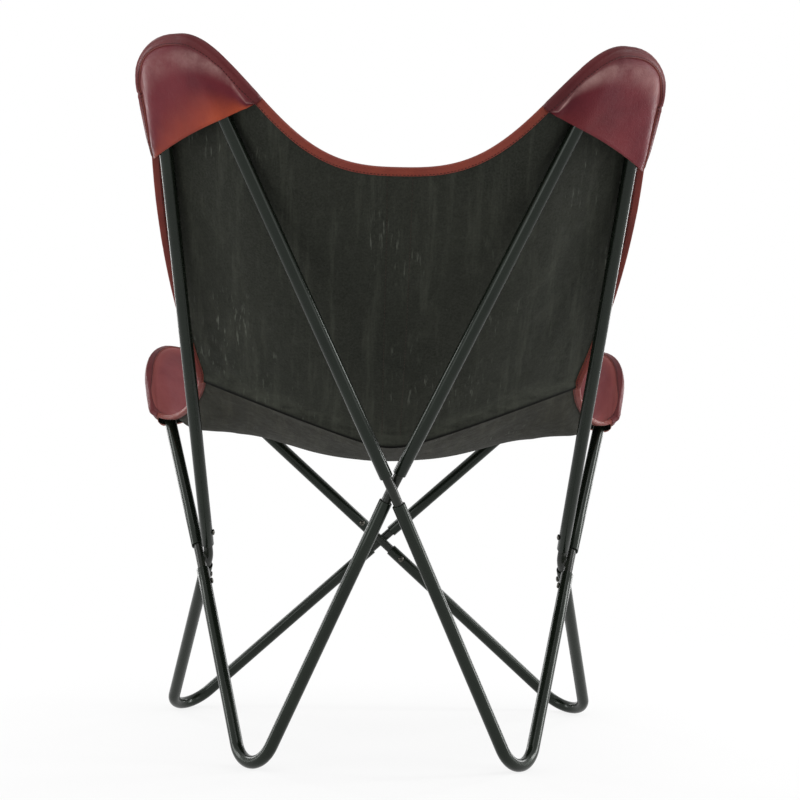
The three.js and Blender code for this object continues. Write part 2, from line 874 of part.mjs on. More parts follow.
function endPlace(isRear, k) {
  const { grid, normals, turn } = panelOf(isRear);
  const i = lastColumn + turn * k;
  const held = Math.min(Math.max(k, 1 - lastColumn), lastColumn - 1);
  return placeOf(grid, normals, 0, i, 1, lastColumn + turn * held);
}

function sidePlace(isRear, side, j) {
  const { grid, normals, turn } = panelOf(isRear);
  const i = lastColumn + turn * side * lastColumn;
  return placeOf(grid, normals, j, i, j, i - turn * side);
}

// A pocket flap lies on the outer face, sewn to the panel along the seam, and bulges
// over the tube down to its own free edge

function flapOf(isRear, side) {
  const pocket = pocketOf(isRear, side);
  const seam = [];
  for (let k = pocketColumn(isRear); k <= lastColumn; k += 1) {
    seam.push(endPlace(isRear, side * k));
  }
  for (let j = 1; j <= panelOf(isRear).seamRows; j += 1) {
    seam.push(sidePlace(isRear, side, j));
  }
  const onFlap = (point, normal) => point.clone().addScaledVector(normal, layer);
  const tops = seam.map((place) => onFlap(place.edge, place.edgeNormal));
  const insides = seam.map((place) => {
    const inwards = place.inner.clone().sub(place.edge);
    inwards.addScaledVector(pocket.normal, -inwards.dot(pocket.normal)).setLength(bindingWidth);
    return inwards;
  });
  const ending = seam.length - 1;
  const onPanel = (width) => {
    const share = width / bindingWidth;
    const { edge, inner, edgeNormal, innerNormal } = seam[0];
    return onFlap(mix(edge, inner, share), mix(edgeNormal, innerNormal, share));
  };
  const { near, far } = isRear ? rearFlap : frontFlap;
  const controls = [
    onPanel(flapEndWidth),
    pocketPoint(pocket, near.across, near.down, -tubeLift),
    pocketPoint(pocket, far.across, far.down, -tubeLift),
    tops[ending].clone().addScaledVector(insides[ending], flapEndWidth / bindingWidth),
  ];
  const lengths = [0];
  for (let k = 1; k <= ending; k += 1) {
    lengths.push(lengths[k - 1] + tops[k].distanceTo(tops[k - 1]));
  }
  const grid = flapRowPlaces.map((t, m) => tops.map((top, k) => {
    if (m === 0) {
      return top;
    }
    const share = (t - flapRowPlaces[1]) / (1 - flapRowPlaces[1]);
    if (k === 0) {
      return onPanel(bindingWidth + (flapEndWidth - bindingWidth) * share);
    }
    const start = top.clone().add(insides[k]);
    const low = bezier(controls, lengths[k] / lengths[ending]);
    return clearTube(pocket, mix(start, low, share), -1);
  }));
  if (gridNormals(grid)[2][6].dot(pocket.normal) > 0) {
    grid.forEach((row) => row.reverse());
    seam.reverse();
  }
  return { grid, seam, normals: gridNormals(grid) };
}

// Edge binding: a strip folded round the border. Its section is drawn at each place from
// the outer face, round the edge, to the face towards the sitter. Its facets are folded
// away from the core, the middle of the leather that it wraps.

function bindingSection(outerPlace, innerPlace) {
  const near = leather / 2 + bindingGap;
  const far = near + bindingLeather;
  const at = (place, inwards, lift) => {
    const share = inwards / place.edge.distanceTo(place.inner);
    const point = place.edge.clone().lerp(place.inner, share);
    const normal = place.edgeNormal.clone().lerp(place.innerNormal, share).normalize();
    return point.addScaledVector(normal, lift);
  };
  const rim = bindingGap + bindingLeather;
  const chamfer = bindingLeather * 0.6;
  const width = bindingWidth - 1;
  return [
    at(outerPlace, width, near),
    at(outerPlace, width, far),
    at(outerPlace, chamfer - rim, far),
    at(outerPlace, -rim, far - chamfer),
    at(innerPlace, -rim, chamfer - far),
    at(innerPlace, chamfer - rim, -far),
    at(innerPlace, width, -far),
    at(innerPlace, width, -near),
    at(innerPlace, -bindingGap, -near),
    at(outerPlace, -bindingGap, near),
  ];
}

function bindingSolid(sections, cores, endTrim) {
  const trimmed = sections.map((section, k) => {
    if (k > 0 && k + 1 < sections.length) {
      return section;
    }
    const other = sections[k === 0 ? 1 : k - 1];
    const trim = (k === 0 ? bindingEndTrim : endTrim) / section[0].distanceTo(other[0]);
    return section.map((point, m) => mix(point, other[m], trim));
  });
  const count = trimmed[0].length;
  const position = trimmed.flat().flatMap((point) => [point.x, point.y, point.z]);
  const index = [];
  for (let k = 0; k + 1 < trimmed.length; k += 1) {
    for (let m = 0; m < count; m += 1) {
      const n = (m + 1) % count;
      const a = k * count + m;
      const b = k * count + n;
      const core = mix(cores[k], cores[k + 1], 0.5);
      const rising = mix(trimmed[k][m], trimmed[k + 1][n], 0.5).distanceTo(core);
      const falling = mix(trimmed[k][n], trimmed[k + 1][m], 0.5).distanceTo(core);
      if (rising > falling) {
        index.push(a, b, b + count, a, b + count, a + count);
      } else {
        index.push(a, b, a + count, b, b + count, a + count);
      }
    }
  }
  const cap = [[0, 1, 2], [0, 2, 9], [2, 3, 9], [3, 4, 9], [4, 8, 9], [4, 5, 8], [5, 6, 8], [6, 7, 8]];
  const end = (trimmed.length - 1) * count;
  for (const [a, b, c] of cap) {
    index.push(a, c, b, end + a, end + b, end + c);
  }
  const geometry = new THREE.BufferGeometry();
  geometry.setAttribute('position', new THREE.Float32BufferAttribute(position, 3));
  geometry.setIndex(index);
  if (toSolid(geometry).volume() < 0) {
    geometry.setIndex(index.reverse());
  }
  geometry.computeVertexNormals();
  return geometry;
}

function edgeBinding(name, places, endTrim) {
  const sections = places.map((place) => bindingSection(place, place));
  const cores = places.map((place) => mix(place.edge, place.inner, 0.5));
  addMesh(name, relieved(bindingSolid(sections, cores, endTrim), panelTools), bindingColour);
}

for (const isRear of [true, false]) {
  for (const side of [-1, 1]) {
    const name = `${cornerName(isRear, side)}_pocket`;
    const flap = flapOf(isRear, side);
    const offsets = halfThickness(flap.normals);
    addMesh(`${name}_flap`, relieved(sheetSolid(flap.grid, offsets), loopTools), wineLeather);
    const sections = flap.seam.map((place, k) => (
      bindingSection(placeOf(flap.grid, flap.normals, 0, k, 1, k), place)
    ));
    const cores = flap.seam.map((place, k) => (
      mix(mix(place.edge, place.inner, 0.5), mix(flap.grid[0][k], flap.grid[1][k], 0.5), 0.5)
    ));
    const tools = [...panelTools, grownSheet(flap.grid, offsets)];
    const binding = bindingSolid(sections, cores, bindingEndTrim);
    addMesh(`${name}_binding`, relieved(binding, tools), bindingColour);
  }
  const freePlaces = [];
  const freeColumns = pocketColumn(isRear);
  for (let k = -freeColumns; k <= freeColumns; k += 1) {
    freePlaces.push(endPlace(isRear, k));
  }
  edgeBinding(isRear ? 'top_edge_binding' : 'front_edge_binding', freePlaces, bindingEndTrim);
  for (const side of [-1, 1]) {
    const { rows, seamRows } = panelOf(isRear);
    const places = [];
    for (let j = seamRows; j <= rows; j += 1) {
      places.push(sidePlace(isRear, side, j));
    }
    const panel = isRear ? 'back' : 'seat';
    edgeBinding(`${sideName(side)}_${panel}_side_binding`, places, creaseTrim);
  }
}

// The chair stands on the floor with its middle over the origin

const box = new THREE.Box3().setFromObject(group);
const middle = box.getCenter(vec(0, 0, 0));
for (const mesh of group.children) {
  mesh.geometry.translate(-middle.x, -middle.y, -box.min.z);
}

export default group;
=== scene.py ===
from bisect import bisect_left
from math import acos, cos, exp, hypot, pi, sin
from types import SimpleNamespace

import bpy
from mathutils import Matrix, Vector, noise


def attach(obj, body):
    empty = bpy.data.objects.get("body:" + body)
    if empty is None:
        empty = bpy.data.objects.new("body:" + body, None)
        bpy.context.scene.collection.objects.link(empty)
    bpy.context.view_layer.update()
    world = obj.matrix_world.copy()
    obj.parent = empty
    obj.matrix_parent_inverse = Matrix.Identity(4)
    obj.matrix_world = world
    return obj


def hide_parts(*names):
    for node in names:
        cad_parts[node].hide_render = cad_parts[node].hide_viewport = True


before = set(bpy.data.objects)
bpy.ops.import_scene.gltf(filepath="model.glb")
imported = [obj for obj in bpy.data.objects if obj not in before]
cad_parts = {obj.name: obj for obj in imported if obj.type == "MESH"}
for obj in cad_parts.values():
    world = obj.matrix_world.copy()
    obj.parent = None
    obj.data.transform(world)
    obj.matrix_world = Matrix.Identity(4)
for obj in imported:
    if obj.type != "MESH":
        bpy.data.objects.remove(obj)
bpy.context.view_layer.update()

# Sizes of the chair in millimetres, the same values as the solids have.

# Steel tube, the rods that join it and the screws
TUBE_RADIUS = 8.25
TUBE_WALL = 1.5
ROD_RADIUS = 6.1
WELD_SINK = 0.6
ROD_REACH = 62
TUBE_END_GAP = 19
FOOT_BEND = 42
FOOT_FLAT = 0.5
LOOP_BEND = {"rear": 38, "front": 42}
SCREW_FROM_END = 20
HEAD_RADIUS = 4
HEAD_HEIGHT = 2.4
SHANK_RADIUS = 2
SOCKET_RADIUS = 1.5
SOCKET_DEPTH = 1.3

# Where the tubes would meet without their bends, and where the rods cross
TOP = {"rear": (290, -457, 970), "front": (345, 292, 560)}
FOOT = {"rear": (172, -180, 0), "front": (312, 310, 0)}
CROSSING = {"rear": Vector((0, -267, 357)), "front": Vector((0, 302, 249))}
SIDE_CROSSING = (242, 25, 247)

# Leather
LEATHER = 3
SEAT_GAP = 0.3
BINDING_LEATHER = 1.4
BINDING_WIDTH = 9
BINDING_GAP = 0.6
FACET_ALLOWANCE = 2
SEAM_LIFT = (LEATHER + SEAT_GAP) / 2
TUBE_LIFT = TUBE_RADIUS + LEATHER / 2 + SEAT_GAP + FACET_ALLOWANCE

# Sling outline: along and height at the middle of borders and crease, bows of the sides, slack
END_MIDDLE = {"rear": (-365, 732), "front": (266, 408)}
CREASE_MIDDLE = (-150, 404)
CREASE_END = (246, -60, 484)
CREASE_ROUNDING = 0.12
BACK_SIDE_BOW = (4, 12)
SEAT_SIDE_FRONT = (29, 25)
SEAT_SIDE_REAR = (10, 38)
SEAT_SLACK = (8, 100)

# Pockets in the plane of their loop: across towards the outer tube, down from its top
POCKET = {"rear": {"apex": (-8, -14.5), "shoulder": (75, 55), "corner": (85, 133)},
          "front": {"apex": (-4, -15), "bulge": (56, -14), "shoulder": (100, 88)}}
FLAP_CURVE = {"rear": ((-47, 80), (13, 101)), "front": ((-55, 88), (45, 118))}
FLAP_END_WIDTH = 10.5
POCKET_DEPTH = 110
INNER_LIFT = 13
ROOM_REACH = {"inner": 32, "apex": 16, "outer": 24}

# Shares of the way along the borders
POCKET_START = {"rear": 0.5, "front": 0.56}
POCKET_APEX = 0.8
KNEE_SHARE = 0.93
LAST_SHARE = 0.97
RING_SHARE = {"rear": 0.022, "front": 0.02}
SEAM_END = {"rear": 0.265, "front": 0.1}

# The frame's origin among these places: the middle of the solids' box, on the floor
FRAME_ORIGIN = Vector((0.0286, -65.3065, 0))
ENDS = ("rear", "front")
SIDES = (-1, 1)
SIDE_NAME = {-1: "left", 1: "right"}
CORNERS = [(end, side) for end in ENDS for side in SIDES]


def metres(point):
    return (Vector(point) - FRAME_ORIGIN) * 0.001


def mix(a, b, t):
    return a + (b - a) * t


def unit(v):
    return v.normalized()


def square_to(axis, v):
    """The direction of what v has at right angles to an axis."""
    return unit(v - axis * v.dot(axis))


def clamp(x, low=0.0, high=1.0):
    return min(max(x, low), high)


def smooth(t):
    t = clamp(t)
    return t * t * (3 - 2 * t)


def bezier(points, t):
    while len(points) > 1:
        points = [mix(a, b, t) for a, b in zip(points, points[1:])]
    return points[0]


def run_lengths(points):
    """How far along a line each of its points is."""
    out = [0.0]
    for a, b in zip(points, points[1:]):
        out.append(out[-1] + (b - a).length)
    return out


# Frame: the bent tubes and the points where their rods cross.


def corner(vertex, to_a, to_b, radius):
    a, b = unit(to_a - vertex), unit(to_b - vertex)
    half = acos(a.dot(b)) / 2
    axis = unit(a + b)
    across = square_to(axis, b)
    centre = vertex + axis * (radius / sin(half))
    return SimpleNamespace(half=half, axis=axis, across=across, radius=radius, centre=centre)


def corner_point(bend, turn):
    axis, across = bend.axis * cos(turn), bend.across * sin(turn)
    return bend.centre + (across - axis) * bend.radius


def corner_arc(bend, steps):
    span = pi / 2 - bend.half
    return [corner_point(bend, span * (2 * i / steps - 1)) for i in range(steps + 1)]


def sided(side, place):
    return Vector((side * place[0], *place[1:]))


def top_of(end, side):
    return sided(side, TOP[end])


def facing(towards, v):
    return -v if v.dot(towards) < 0 else v


def lap_shift(cross, a, b, inside):
    """Half the distance between two crossing rods, towards the inside."""
    normal = facing(inside, unit((a - cross).cross(b - cross)))
    return normal * (2 * ROD_RADIUS - WELD_SINK) / 2


def end_crossing(end, side, is_loop):
    shift = lap_shift(CROSSING[end], top_of(end, -1), top_of(end, 1), Vector((0, 1, 0)))
    return CROSSING[end] + shift * (side if is_loop else -side)


def side_crossing(end, side, is_loop):
    cross = sided(side, SIDE_CROSSING)
    shift = lap_shift(cross, top_of("rear", side), top_of("front", side), Vector((-side, 0, 0)))
    return cross + shift * (1 if (end == "rear") == is_loop else -1)


def foot_vertex(end, side, a, b):
    """Lowered until the outside of the bend comes down to the floor."""
    vertex = sided(side, FOOT[end])
    for _ in range(12):
        lowest = min(p.z for p in corner_arc(corner(vertex, a, b, FOOT_BEND), 40))
        vertex.z += TUBE_RADIUS - FOOT_FLAT - lowest
    return vertex


tubes = {}
for end, side in CORNERS:
    for is_loop in (True, False):
        a, b = end_crossing(end, side, is_loop), side_crossing(end, side, is_loop)
        vertex = top_of(end, side) if is_loop else foot_vertex(end, side, a, b)
        bend = corner(vertex, a, b, LOOP_BEND[end] if is_loop else FOOT_BEND)
        tubes[end, side, is_loop] = {"a": a, "b": b, "vertex": vertex, "bend": bend}


# Meshes


def add_object(name, data):
    obj = bpy.data.objects.new(name, data)
    bpy.context.scene.collection.objects.link(obj)
    return obj


def make(name, verts, faces, materials, slot, node=None, indices=None, flat=(), **tags):
    """A piece, the node of the solids that it replaces, and tags for its points."""
    mesh = bpy.data.meshes.new(name)
    mesh.from_pydata([metres(v) for v in verts], [], faces)
    mesh.validate()
    for material in materials:
        mesh.materials.append(material)
    if indices:
        mesh.polygons.foreach_set("material_index", indices)
    mesh.polygons.foreach_set("use_smooth", [i not in flat for i in range(len(mesh.polygons))])
    for tag, values in tags.items():
        mesh.attributes.new(tag, "FLOAT", "POINT").data.foreach_set("value", values)
    obj = add_object(name, mesh)
    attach(obj, "root")
    if node:
        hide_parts(node)
    return obj


def cross_axes(direction):
    """Two directions at right angles to a direction."""
    first = unit(direction.orthogonal())
    return first, direction.cross(first)


def ring(centre, axes, radius, sides, shape=lambda turn: 1):
    """Points round a centre; shape changes the radius with the turn."""
    turns = [2 * pi * k / sides for k in range(sides)]
    return [centre + (axes[0] * cos(w) + axes[1] * sin(w)) * (radius * shape(w)) for w in turns]


def ring_faces(rings, sides, base=0, caps=False):
    """Faces between rings that follow each other; caps close the first and last one."""
    faces = []
    for j in range(rings - 1):
        near, far = base + j * sides, base + (j + 1) * sides
        for k in range(sides):
            after = (k + 1) % sides
            faces.append((near + k, near + after, far + after, far + k))
    if caps:
        last = base + (rings - 1) * sides
        faces += [tuple(reversed(range(base, base + sides))), tuple(range(last, last + sides))]
    return faces


def frames_along(path):
    """Frames along a path, each turned as little as possible from the last."""
    steps = [unit(b - a) for a, b in zip(path, path[1:])]
    first = unit(steps[0].orthogonal())
    out = []
    for before, after in zip(steps[:1] + steps, steps + steps[-1:]):
        tangent = unit(before + after)
        first = square_to(tangent, first)
        out.append((tangent, (first, tangent.cross(first))))
    return out


def tube_skin(path, ends, sides):
    """A skin along a path, flat on the floor; ends holds (shift inwards, radius) of its end rings."""
    last = len(path) - 1
    rings = [(0, shift, radius) for shift, radius in ends]
    rings += [(i, 0, ends[-1][1]) for i in range(1, last)]
    rings += [(last, -shift, radius) for shift, radius in reversed(ends)]
    frames = frames_along(path)
    verts = []
    for i, shift, radius in rings:
        tangent, axes = frames[i]
        for point in ring(path[i] + tangent * shift, axes, radius, sides):
            point.z = max(point.z, 0)
            verts.append(point)
    return verts, ring_faces(len(rings), sides)


STRAIGHT_STEP = 60


def long_path(points):
    """Adds points to straight runs, so that faces are even."""
    out = [points[0]]
    for p, q in zip(points, points[1:]):
        count = max(1, int((q - p).length / STRAIGHT_STEP))
        out += [mix(p, q, (i + 1) / count) for i in range(count)]
    return out


# Materials


def fill_inputs(tree, node, inputs):
    """Links each input to a socket, or sets its value."""
    for key, value in inputs.items():
        if isinstance(value, bpy.types.NodeSocket):
            tree.links.new(value, node.inputs[key])
        else:
            node.inputs[key].default_value = value


def add_node(tree, kind, inputs=None, **settings):
    """Adds a shader node and gives its outputs."""
    node = tree.nodes.new(f"ShaderNode{kind}")
    for key, value in settings.items():
        setattr(node, key, value)
    fill_inputs(tree, node, inputs or {})
    return node.outputs


def colour(*screen):
    """What the shader takes for a colour on the screen, in 0 to 255."""
    shares = [value / 255 for value in screen]
    return tuple(c / 12.92 if c <= 0.04045 else ((c + 0.055) / 1.055) ** 2.4 for c in shares)


class Look:
    """A material, and short ways to write its nodes."""

    def __init__(self, name):
        self.material = bpy.data.materials.new(name)
        self.material.use_nodes = True
        self.tree = self.material.node_tree
        self.shader = self.tree.nodes["Principled BSDF"]
        self.place = self.node("TexCoord")["Object"]

    def node(self, kind, inputs=None, **settings):
        return add_node(self.tree, kind, inputs, **settings)

    def noise(self, scale, detail=4, rough=0.55, stretch=None, distortion=0.0):
        """Clouds, drawn out along the axes that have a small stretch value."""
        where = self.place
        if stretch:
            where = self.node("Mapping", {"Vector": where, "Scale": stretch})["Vector"]
        inputs = {"Vector": where, "Scale": scale, "Detail": detail, "Roughness": rough,
                  "Distortion": distortion}
        return self.node("TexNoise", inputs)["Fac"]

    def cells(self, scale, feature="F1"):
        inputs = {"Vector": self.place, "Scale": scale}
        return self.node("TexVoronoi", inputs, feature=feature)["Distance"]

    def ramp(self, fac, *stops):
        """Stops are (position, grey value or colour on the screen)."""
        result = self.node("ValToRGB", {"Fac": fac})["Color"]
        elements = result.node.color_ramp.elements
        while len(elements) < len(stops):
            elements.new(0.5)
        for element, (position, value) in zip(elements, stops):
            element.position = position
            element.color = (*(colour(*value) if isinstance(value, tuple) else [value] * 3), 1)
        return result

    def blend(self, fac, base, over, shade=1):
        """Lays a colour, darkened by shade, over the base."""
        inputs = {0: fac, 6: base, 7: (*(c * shade for c in colour(*over)), 1)}
        return self.node("Mix", inputs, data_type="RGBA")[2]

    def times(self, a, b):
        return self.node("Math", {0: a, 1: b}, operation="MULTIPLY")[0]

    def tag(self, name):
        return self.node("Attribute", attribute_name=name)["Fac"]

    def finish(self, *bumps, **values):
        """The material, with bumps of (height, strength, distance in metres)."""
        below = {}
        for height, strength, distance in bumps:
            inputs = {"Height": height, "Strength": strength, "Distance": distance, **below}
            below = {"Normal": self.node("Bump", inputs)["Normal"]}
        inputs = {key.replace("_", " "): value for key, value in values.items()}
        fill_inputs(self.tree, self.shader, {**inputs, **below})
        return self.material


def powder_coat():
    look = Look("frame_powder_coat")
    base = look.ramp(look.noise(14), (0.3, (12, 17, 12)), (0.7, (21, 26, 20)))
    scuff = look.ramp(look.noise(120, 8, 0.7, (1, 1, 0.12)), (0.69, 0.0), (0.76, 1.0))
    base = look.blend(look.times(scuff, 0.2), base, (112, 114, 104))
    rough = look.ramp(look.noise(60, 5), (0.25, 0.22), (0.75, 0.32))
    return look.finish((look.noise(520, 3), 0.1, 0.0005), (look.noise(1900, 2), 0.05, 0.0003),
                       Base_Color=base, Roughness=rough, Specular_IOR_Level=0.12,
                       Specular_Tint=(0.8, 1.0, 0.82, 1), Coat_Weight=0.3, Coat_Roughness=0.12)


def dark_zinc():
    look = Look("screw_dark_zinc")
    base = look.ramp(look.noise(300, 6), (0.3, (56, 56, 52)), (0.7, (92, 90, 84)))
    rough = look.ramp(look.noise(900), (0.3, 0.16), (0.7, 0.3))
    return look.finish((look.noise(2500, 3), 0.15, 0.0002), Base_Color=base, Metallic=1.0, Roughness=rough)


def rod_black():
    look = Look("rod_black")
    base = look.ramp(look.noise(40, 6, 0.65), (0.3, (19, 23, 18)), (0.72, (34, 37, 31)))
    rough = look.ramp(look.noise(150, 5), (0.3, 0.34), (0.7, 0.5))
    return look.finish((look.noise(700, 5), 0.2, 0.0004), Base_Color=base, Roughness=rough,
                       Specular_IOR_Level=0.06, Coat_Weight=0.45, Coat_Roughness=0.2)


def grain_leather(name, dark, mid, light, warm):
    """Smooth wine leather: clouds, a fine grain with creases, scuffs, a warm edge and a pale painted
    highlight. The warm edge is wear on panels and bindings and a painted warm glow of light on the flaps.
    """
    look = Look(name)
    cloud = look.noise(9, 6, 0.6, distortion=0.4)
    base = look.ramp(cloud, (0.28, dark), (0.5, mid), (0.75, light))
    # warm colour where the tag says: wear along panel and binding edges, a painted warm glow of light on
    # the flaps
    patchy_mask = look.ramp(look.noise(26, 6, 0.65), (0.2, 0.55), (0.7, 1.0))
    base = look.blend(look.times(look.tag("warm"), patchy_mask), base, warm)
    # painted highlight: a pale grey lustre laid into the colour where the tag says
    grey = look.ramp(look.noise(17, 8, 0.66), (0.34, 0.05), (0.72, 0.8))
    base = look.blend(look.times(look.tag("sheen"), grey), base, (166, 130, 126))
    line = look.ramp(look.noise(95, 9, 0.72, (1, 0.5, 0.22)), (0.66, 0.0), (0.74, 0.28))
    base = look.blend(line, base, (158, 100, 92))
    pores = look.cells(760)
    wrinkle = look.ramp(look.cells(150, "DISTANCE_TO_EDGE"), (0.0, 0.0), (0.09, 1.0))
    base = look.blend(look.ramp(pores, (0.02, 0.3), (0.32, 0.0)), base, dark, 0.45)
    rough = look.ramp(look.noise(44, 6), (0.3, 0.4), (0.72, 0.58))
    return look.finish((look.noise(22, 5), 0.25, 0.004), (look.noise(75, 6, 0.65), 0.3, 0.0014),
                       (wrinkle, 0.16, 0.0004), (pores, 0.3, 0.0005), (look.noise(1500, 3), 0.1, 0.0002),
                       Base_Color=base, Roughness=rough, Specular_IOR_Level=0.11)


def flesh_side(name, dark, light, streak):
    """The black flesh side: matt nap with scuffs, long pale streaks, a painted highlight along the fold and
    a painted shadow line in the crease.
    """
    look = Look(name)
    base = look.ramp(look.noise(5, 6, 0.6, distortion=0.6), (0.25, dark), (0.75, light))
    fibre = look.ramp(look.noise(380, 6, 0.75), (0.35, 0.0), (0.75, 0.4))
    fall = look.ramp(look.noise(60, 8, 0.7, (1, 0.1, 0.08)), (0.5, 0.0), (0.74, 0.55))
    patch = look.ramp(look.noise(16, 9, 0.72, (1, 1, 0.4), 1.0), (0.55, 0.0), (0.78, 0.4))
    for mark in (fibre, fall, patch):
        base = look.blend(mark, base, streak)
    stroke = look.ramp(look.noise(300, 3, 0.55, (1, 0.14, 0.12)), (0.6, 0.0), (0.72, 0.45))
    patchy_mask = look.ramp(look.noise(7, 3), (0.54, 0.0), (0.64, 1.0))
    base = look.blend(look.times(stroke, patchy_mask), base, (112, 115, 106))
    speck = look.ramp(look.noise(420, 2, 0.4), (0.77, 0.0), (0.81, 0.5))
    strewn = look.ramp(look.noise(11, 3), (0.56, 0.0), (0.66, 1.0))
    base = look.blend(look.times(speck, strewn), base, (128, 128, 118))
    fold = look.tag("fold")
    # painted highlight: a patchy lighter band along the fold, just above the crease
    painted_fold_highlight = look.ramp(fold, (0.2, 0.0), (0.65, 1.0), (0.9, 1.0), (0.95, 0.0))
    fold_highlight_patches = look.ramp(look.noise(26, 8, 0.7, (0.5, 1, 2)), (0.4, 0.0), (0.7, 0.7))
    base = look.blend(look.times(painted_fold_highlight, fold_highlight_patches), base, streak)
    # painted shadow: a near-black line in the crease where the back laps over the seat
    base = look.blend(look.ramp(fold, (0.94, 0.0), (0.97, 1.0)), base, (11, 11, 9))
    rough = look.ramp(look.noise(90, 5), (0.3, 0.74), (0.7, 0.92))
    return look.finish((look.noise(18, 5, 0.6, (1, 1, 0.35)), 0.3, 0.004),
                       (look.noise(420, 8, 0.8), 0.35, 0.0006),
                       Base_Color=base, Roughness=rough, Specular_IOR_Level=0.12)


def thread(name, dark, light):
    look = Look(name)
    base = look.ramp(look.noise(900), (0.3, dark), (0.7, light))
    twist = look.node("TexWave", {"Vector": look.place, "Scale": 1800})["Fac"]
    return look.finish((twist, 0.3, 0.0002), Base_Color=base, Roughness=0.62, Specular_IOR_Level=0.2)


paint = powder_coat()
zinc_plate = dark_zinc()
rod_paint = rod_black()
wine = grain_leather("wine_leather", (72, 22, 30), (90, 29, 37), (105, 38, 45), (158, 68, 41))
seat_wine = grain_leather("seat_leather", (92, 41, 45), (115, 57, 60), (131, 71, 73), (138, 74, 68))
edge_wine = grain_leather("binding_leather", (62, 20, 26), (82, 30, 35), (98, 40, 43), (150, 70, 48))
raw_edge = grain_leather("cut_edge", (104, 58, 50), (140, 84, 74), (166, 106, 92), (170, 110, 80))
flesh = flesh_side("flesh_side", (23, 25, 21), (36, 37, 32), (68, 70, 62))
# the seat's underside: a lighter, browner copy of the flesh side, painted bounce light from the floor
flesh_seat_painted_bounce_light = flesh_side("flesh_side_seat_painted_bounce_light", (28, 28, 24), (40, 40, 34), (66, 65, 56))
wine_thread = thread("wine_thread", (32, 12, 15), (56, 24, 25))
black_thread = thread("black_thread", (34, 26, 23), (54, 42, 37))

# Tubes with open, rounded ends, and a screw near each end.

TUBE_SIDES = 40
BORE_SHOWN = 26
TUBE_BORE = TUBE_RADIUS - TUBE_WALL
# the bore and the rounded lip at a tube's end: distance from the end, radius
TUBE_ENDS = ((BORE_SHOWN, TUBE_BORE), (0.45, TUBE_BORE), (0, TUBE_BORE + 0.45), (0, TUBE_RADIUS - 0.6),
             (0.2, TUBE_RADIUS - 0.18), (0.6, TUBE_RADIUS))
SCREW_SIDES = 24
TIP = 0.01
SHANK_END = -2
HEAD_UNDERSIDE = -0.25
DOME_TURNS = (0, 0.25, 0.5, 0.75, 0.95)


def hexagon(turn):
    sixth = pi / 3
    return cos(sixth / 2) / cos(turn % sixth - sixth / 2)


def screw_skin(at, direction):
    """A button head with a six sided socket, on the start of its shank."""
    dome = [(HEAD_RADIUS * cos(w), HEAD_HEIGHT * (0.3 + 0.7 * sin(w))) for w in DOME_TURNS]
    turned = [(TIP, SHANK_END), (SHANK_RADIUS, SHANK_END), (SHANK_RADIUS, HEAD_UNDERSIDE),
              (HEAD_RADIUS * 0.94, HEAD_UNDERSIDE), (HEAD_RADIUS, 0.15), *dome]
    socket = [(SOCKET_RADIUS, HEAD_HEIGHT * 0.98), (SOCKET_RADIUS * 0.97, HEAD_HEIGHT * 0.94),
              (SOCKET_RADIUS * 0.97, HEAD_HEIGHT - SOCKET_DEPTH),
              (SOCKET_RADIUS * 0.01, HEAD_HEIGHT - SOCKET_DEPTH - 0.2)]
    axes = cross_axes(direction)
    verts = []
    for radius, height in turned:
        verts += ring(at + direction * height, axes, radius, SCREW_SIDES)
    for radius, height in socket:
        verts += ring(at + direction * height, axes, radius, SCREW_SIDES, hexagon)
    return verts, ring_faces(len(turned) + len(socket), SCREW_SIDES)


for (end, side, is_loop), tube in tubes.items():
    name = f"{end}_{SIDE_NAME[side]}_{'loop' if is_loop else 'leg'}"
    arms = {key: unit(tube["vertex"] - tube[key]) for key in ("a", "b")}
    start, stop = (tube[key] + arms[key] * TUBE_END_GAP for key in ("a", "b"))
    path = long_path([start, *corner_arc(tube["bend"], 30), stop])
    make(f"{name}_tube", *tube_skin(path, TUBE_ENDS, TUBE_SIDES), [paint], "frame_paint", name)
    for where, key, inside in (("end", "a", Vector((0, 1 if end == "rear" else -1, 0))),
                               ("side", "b", Vector((-side, 0, 0)))):
        arm = arms[key]
        direction = square_to(arm, inside)
        at = tube[key] + arm * (TUBE_END_GAP + SCREW_FROM_END) + direction * (TUBE_RADIUS + SEAT_GAP)
        screw = f"{name}_{where}_button_screw", *screw_skin(at, direction), [zinc_plate]
        make(*screw, "screw_zinc", f"{name}_{where}_screw")

# Cross connectors: two rods, each bent a little where it lies on the other, and their weld.

ROD_SIDES = 32
ROD_CHAMFER = 0.6
ROD_ENDS = ((0, 0.1), (0, ROD_RADIUS - ROD_CHAMFER), (-ROD_CHAMFER, ROD_RADIUS))
ROD_EASE = 8
# distances of a rod's rings from the crossing
ROD_PLACES = (TUBE_END_GAP + ROD_REACH, 40, 14, ROD_EASE)
# the weld bead: height along the line between the rods, radius
WELD_PROFILE = ((-3.4, 0.2), (-3.1, 3.2), (-2.0, 5.0), (-0.8, 5.7), (0.8, 5.7), (2.0, 5.0), (3.1, 3.2),
                (3.4, 0.2))
WELD_SIDES = 24
WELD_RIPPLES = 7


def rod_skin(upper, lower, key):
    cross = upper[key]
    up, down = (unit(tube["vertex"] - cross) for tube in (upper, lower))
    bend = [cross + up * ROD_EASE, cross, cross + down * ROD_EASE]
    path = [cross + up * s for s in ROD_PLACES]
    path += [bezier(bend, share) for share in (0.25, 0.5, 0.75)]
    path += [cross + down * s for s in reversed(ROD_PLACES)]
    return tube_skin(path, ROD_ENDS, ROD_SIDES)


def weld_skin(first, second):
    """A low bead between two rods that lie on each other."""
    centre = (first + second) / 2
    axis = unit(second - first)
    axes = cross_axes(axis)
    verts = []
    for height, radius in WELD_PROFILE:
        def ripple(turn):
            return 1 + 0.05 * sin(WELD_RIPPLES * turn + height)
        verts += ring(centre + axis * height, axes, radius, WELD_SIDES, ripple)
    return verts, ring_faces(len(WELD_PROFILE), WELD_SIDES)


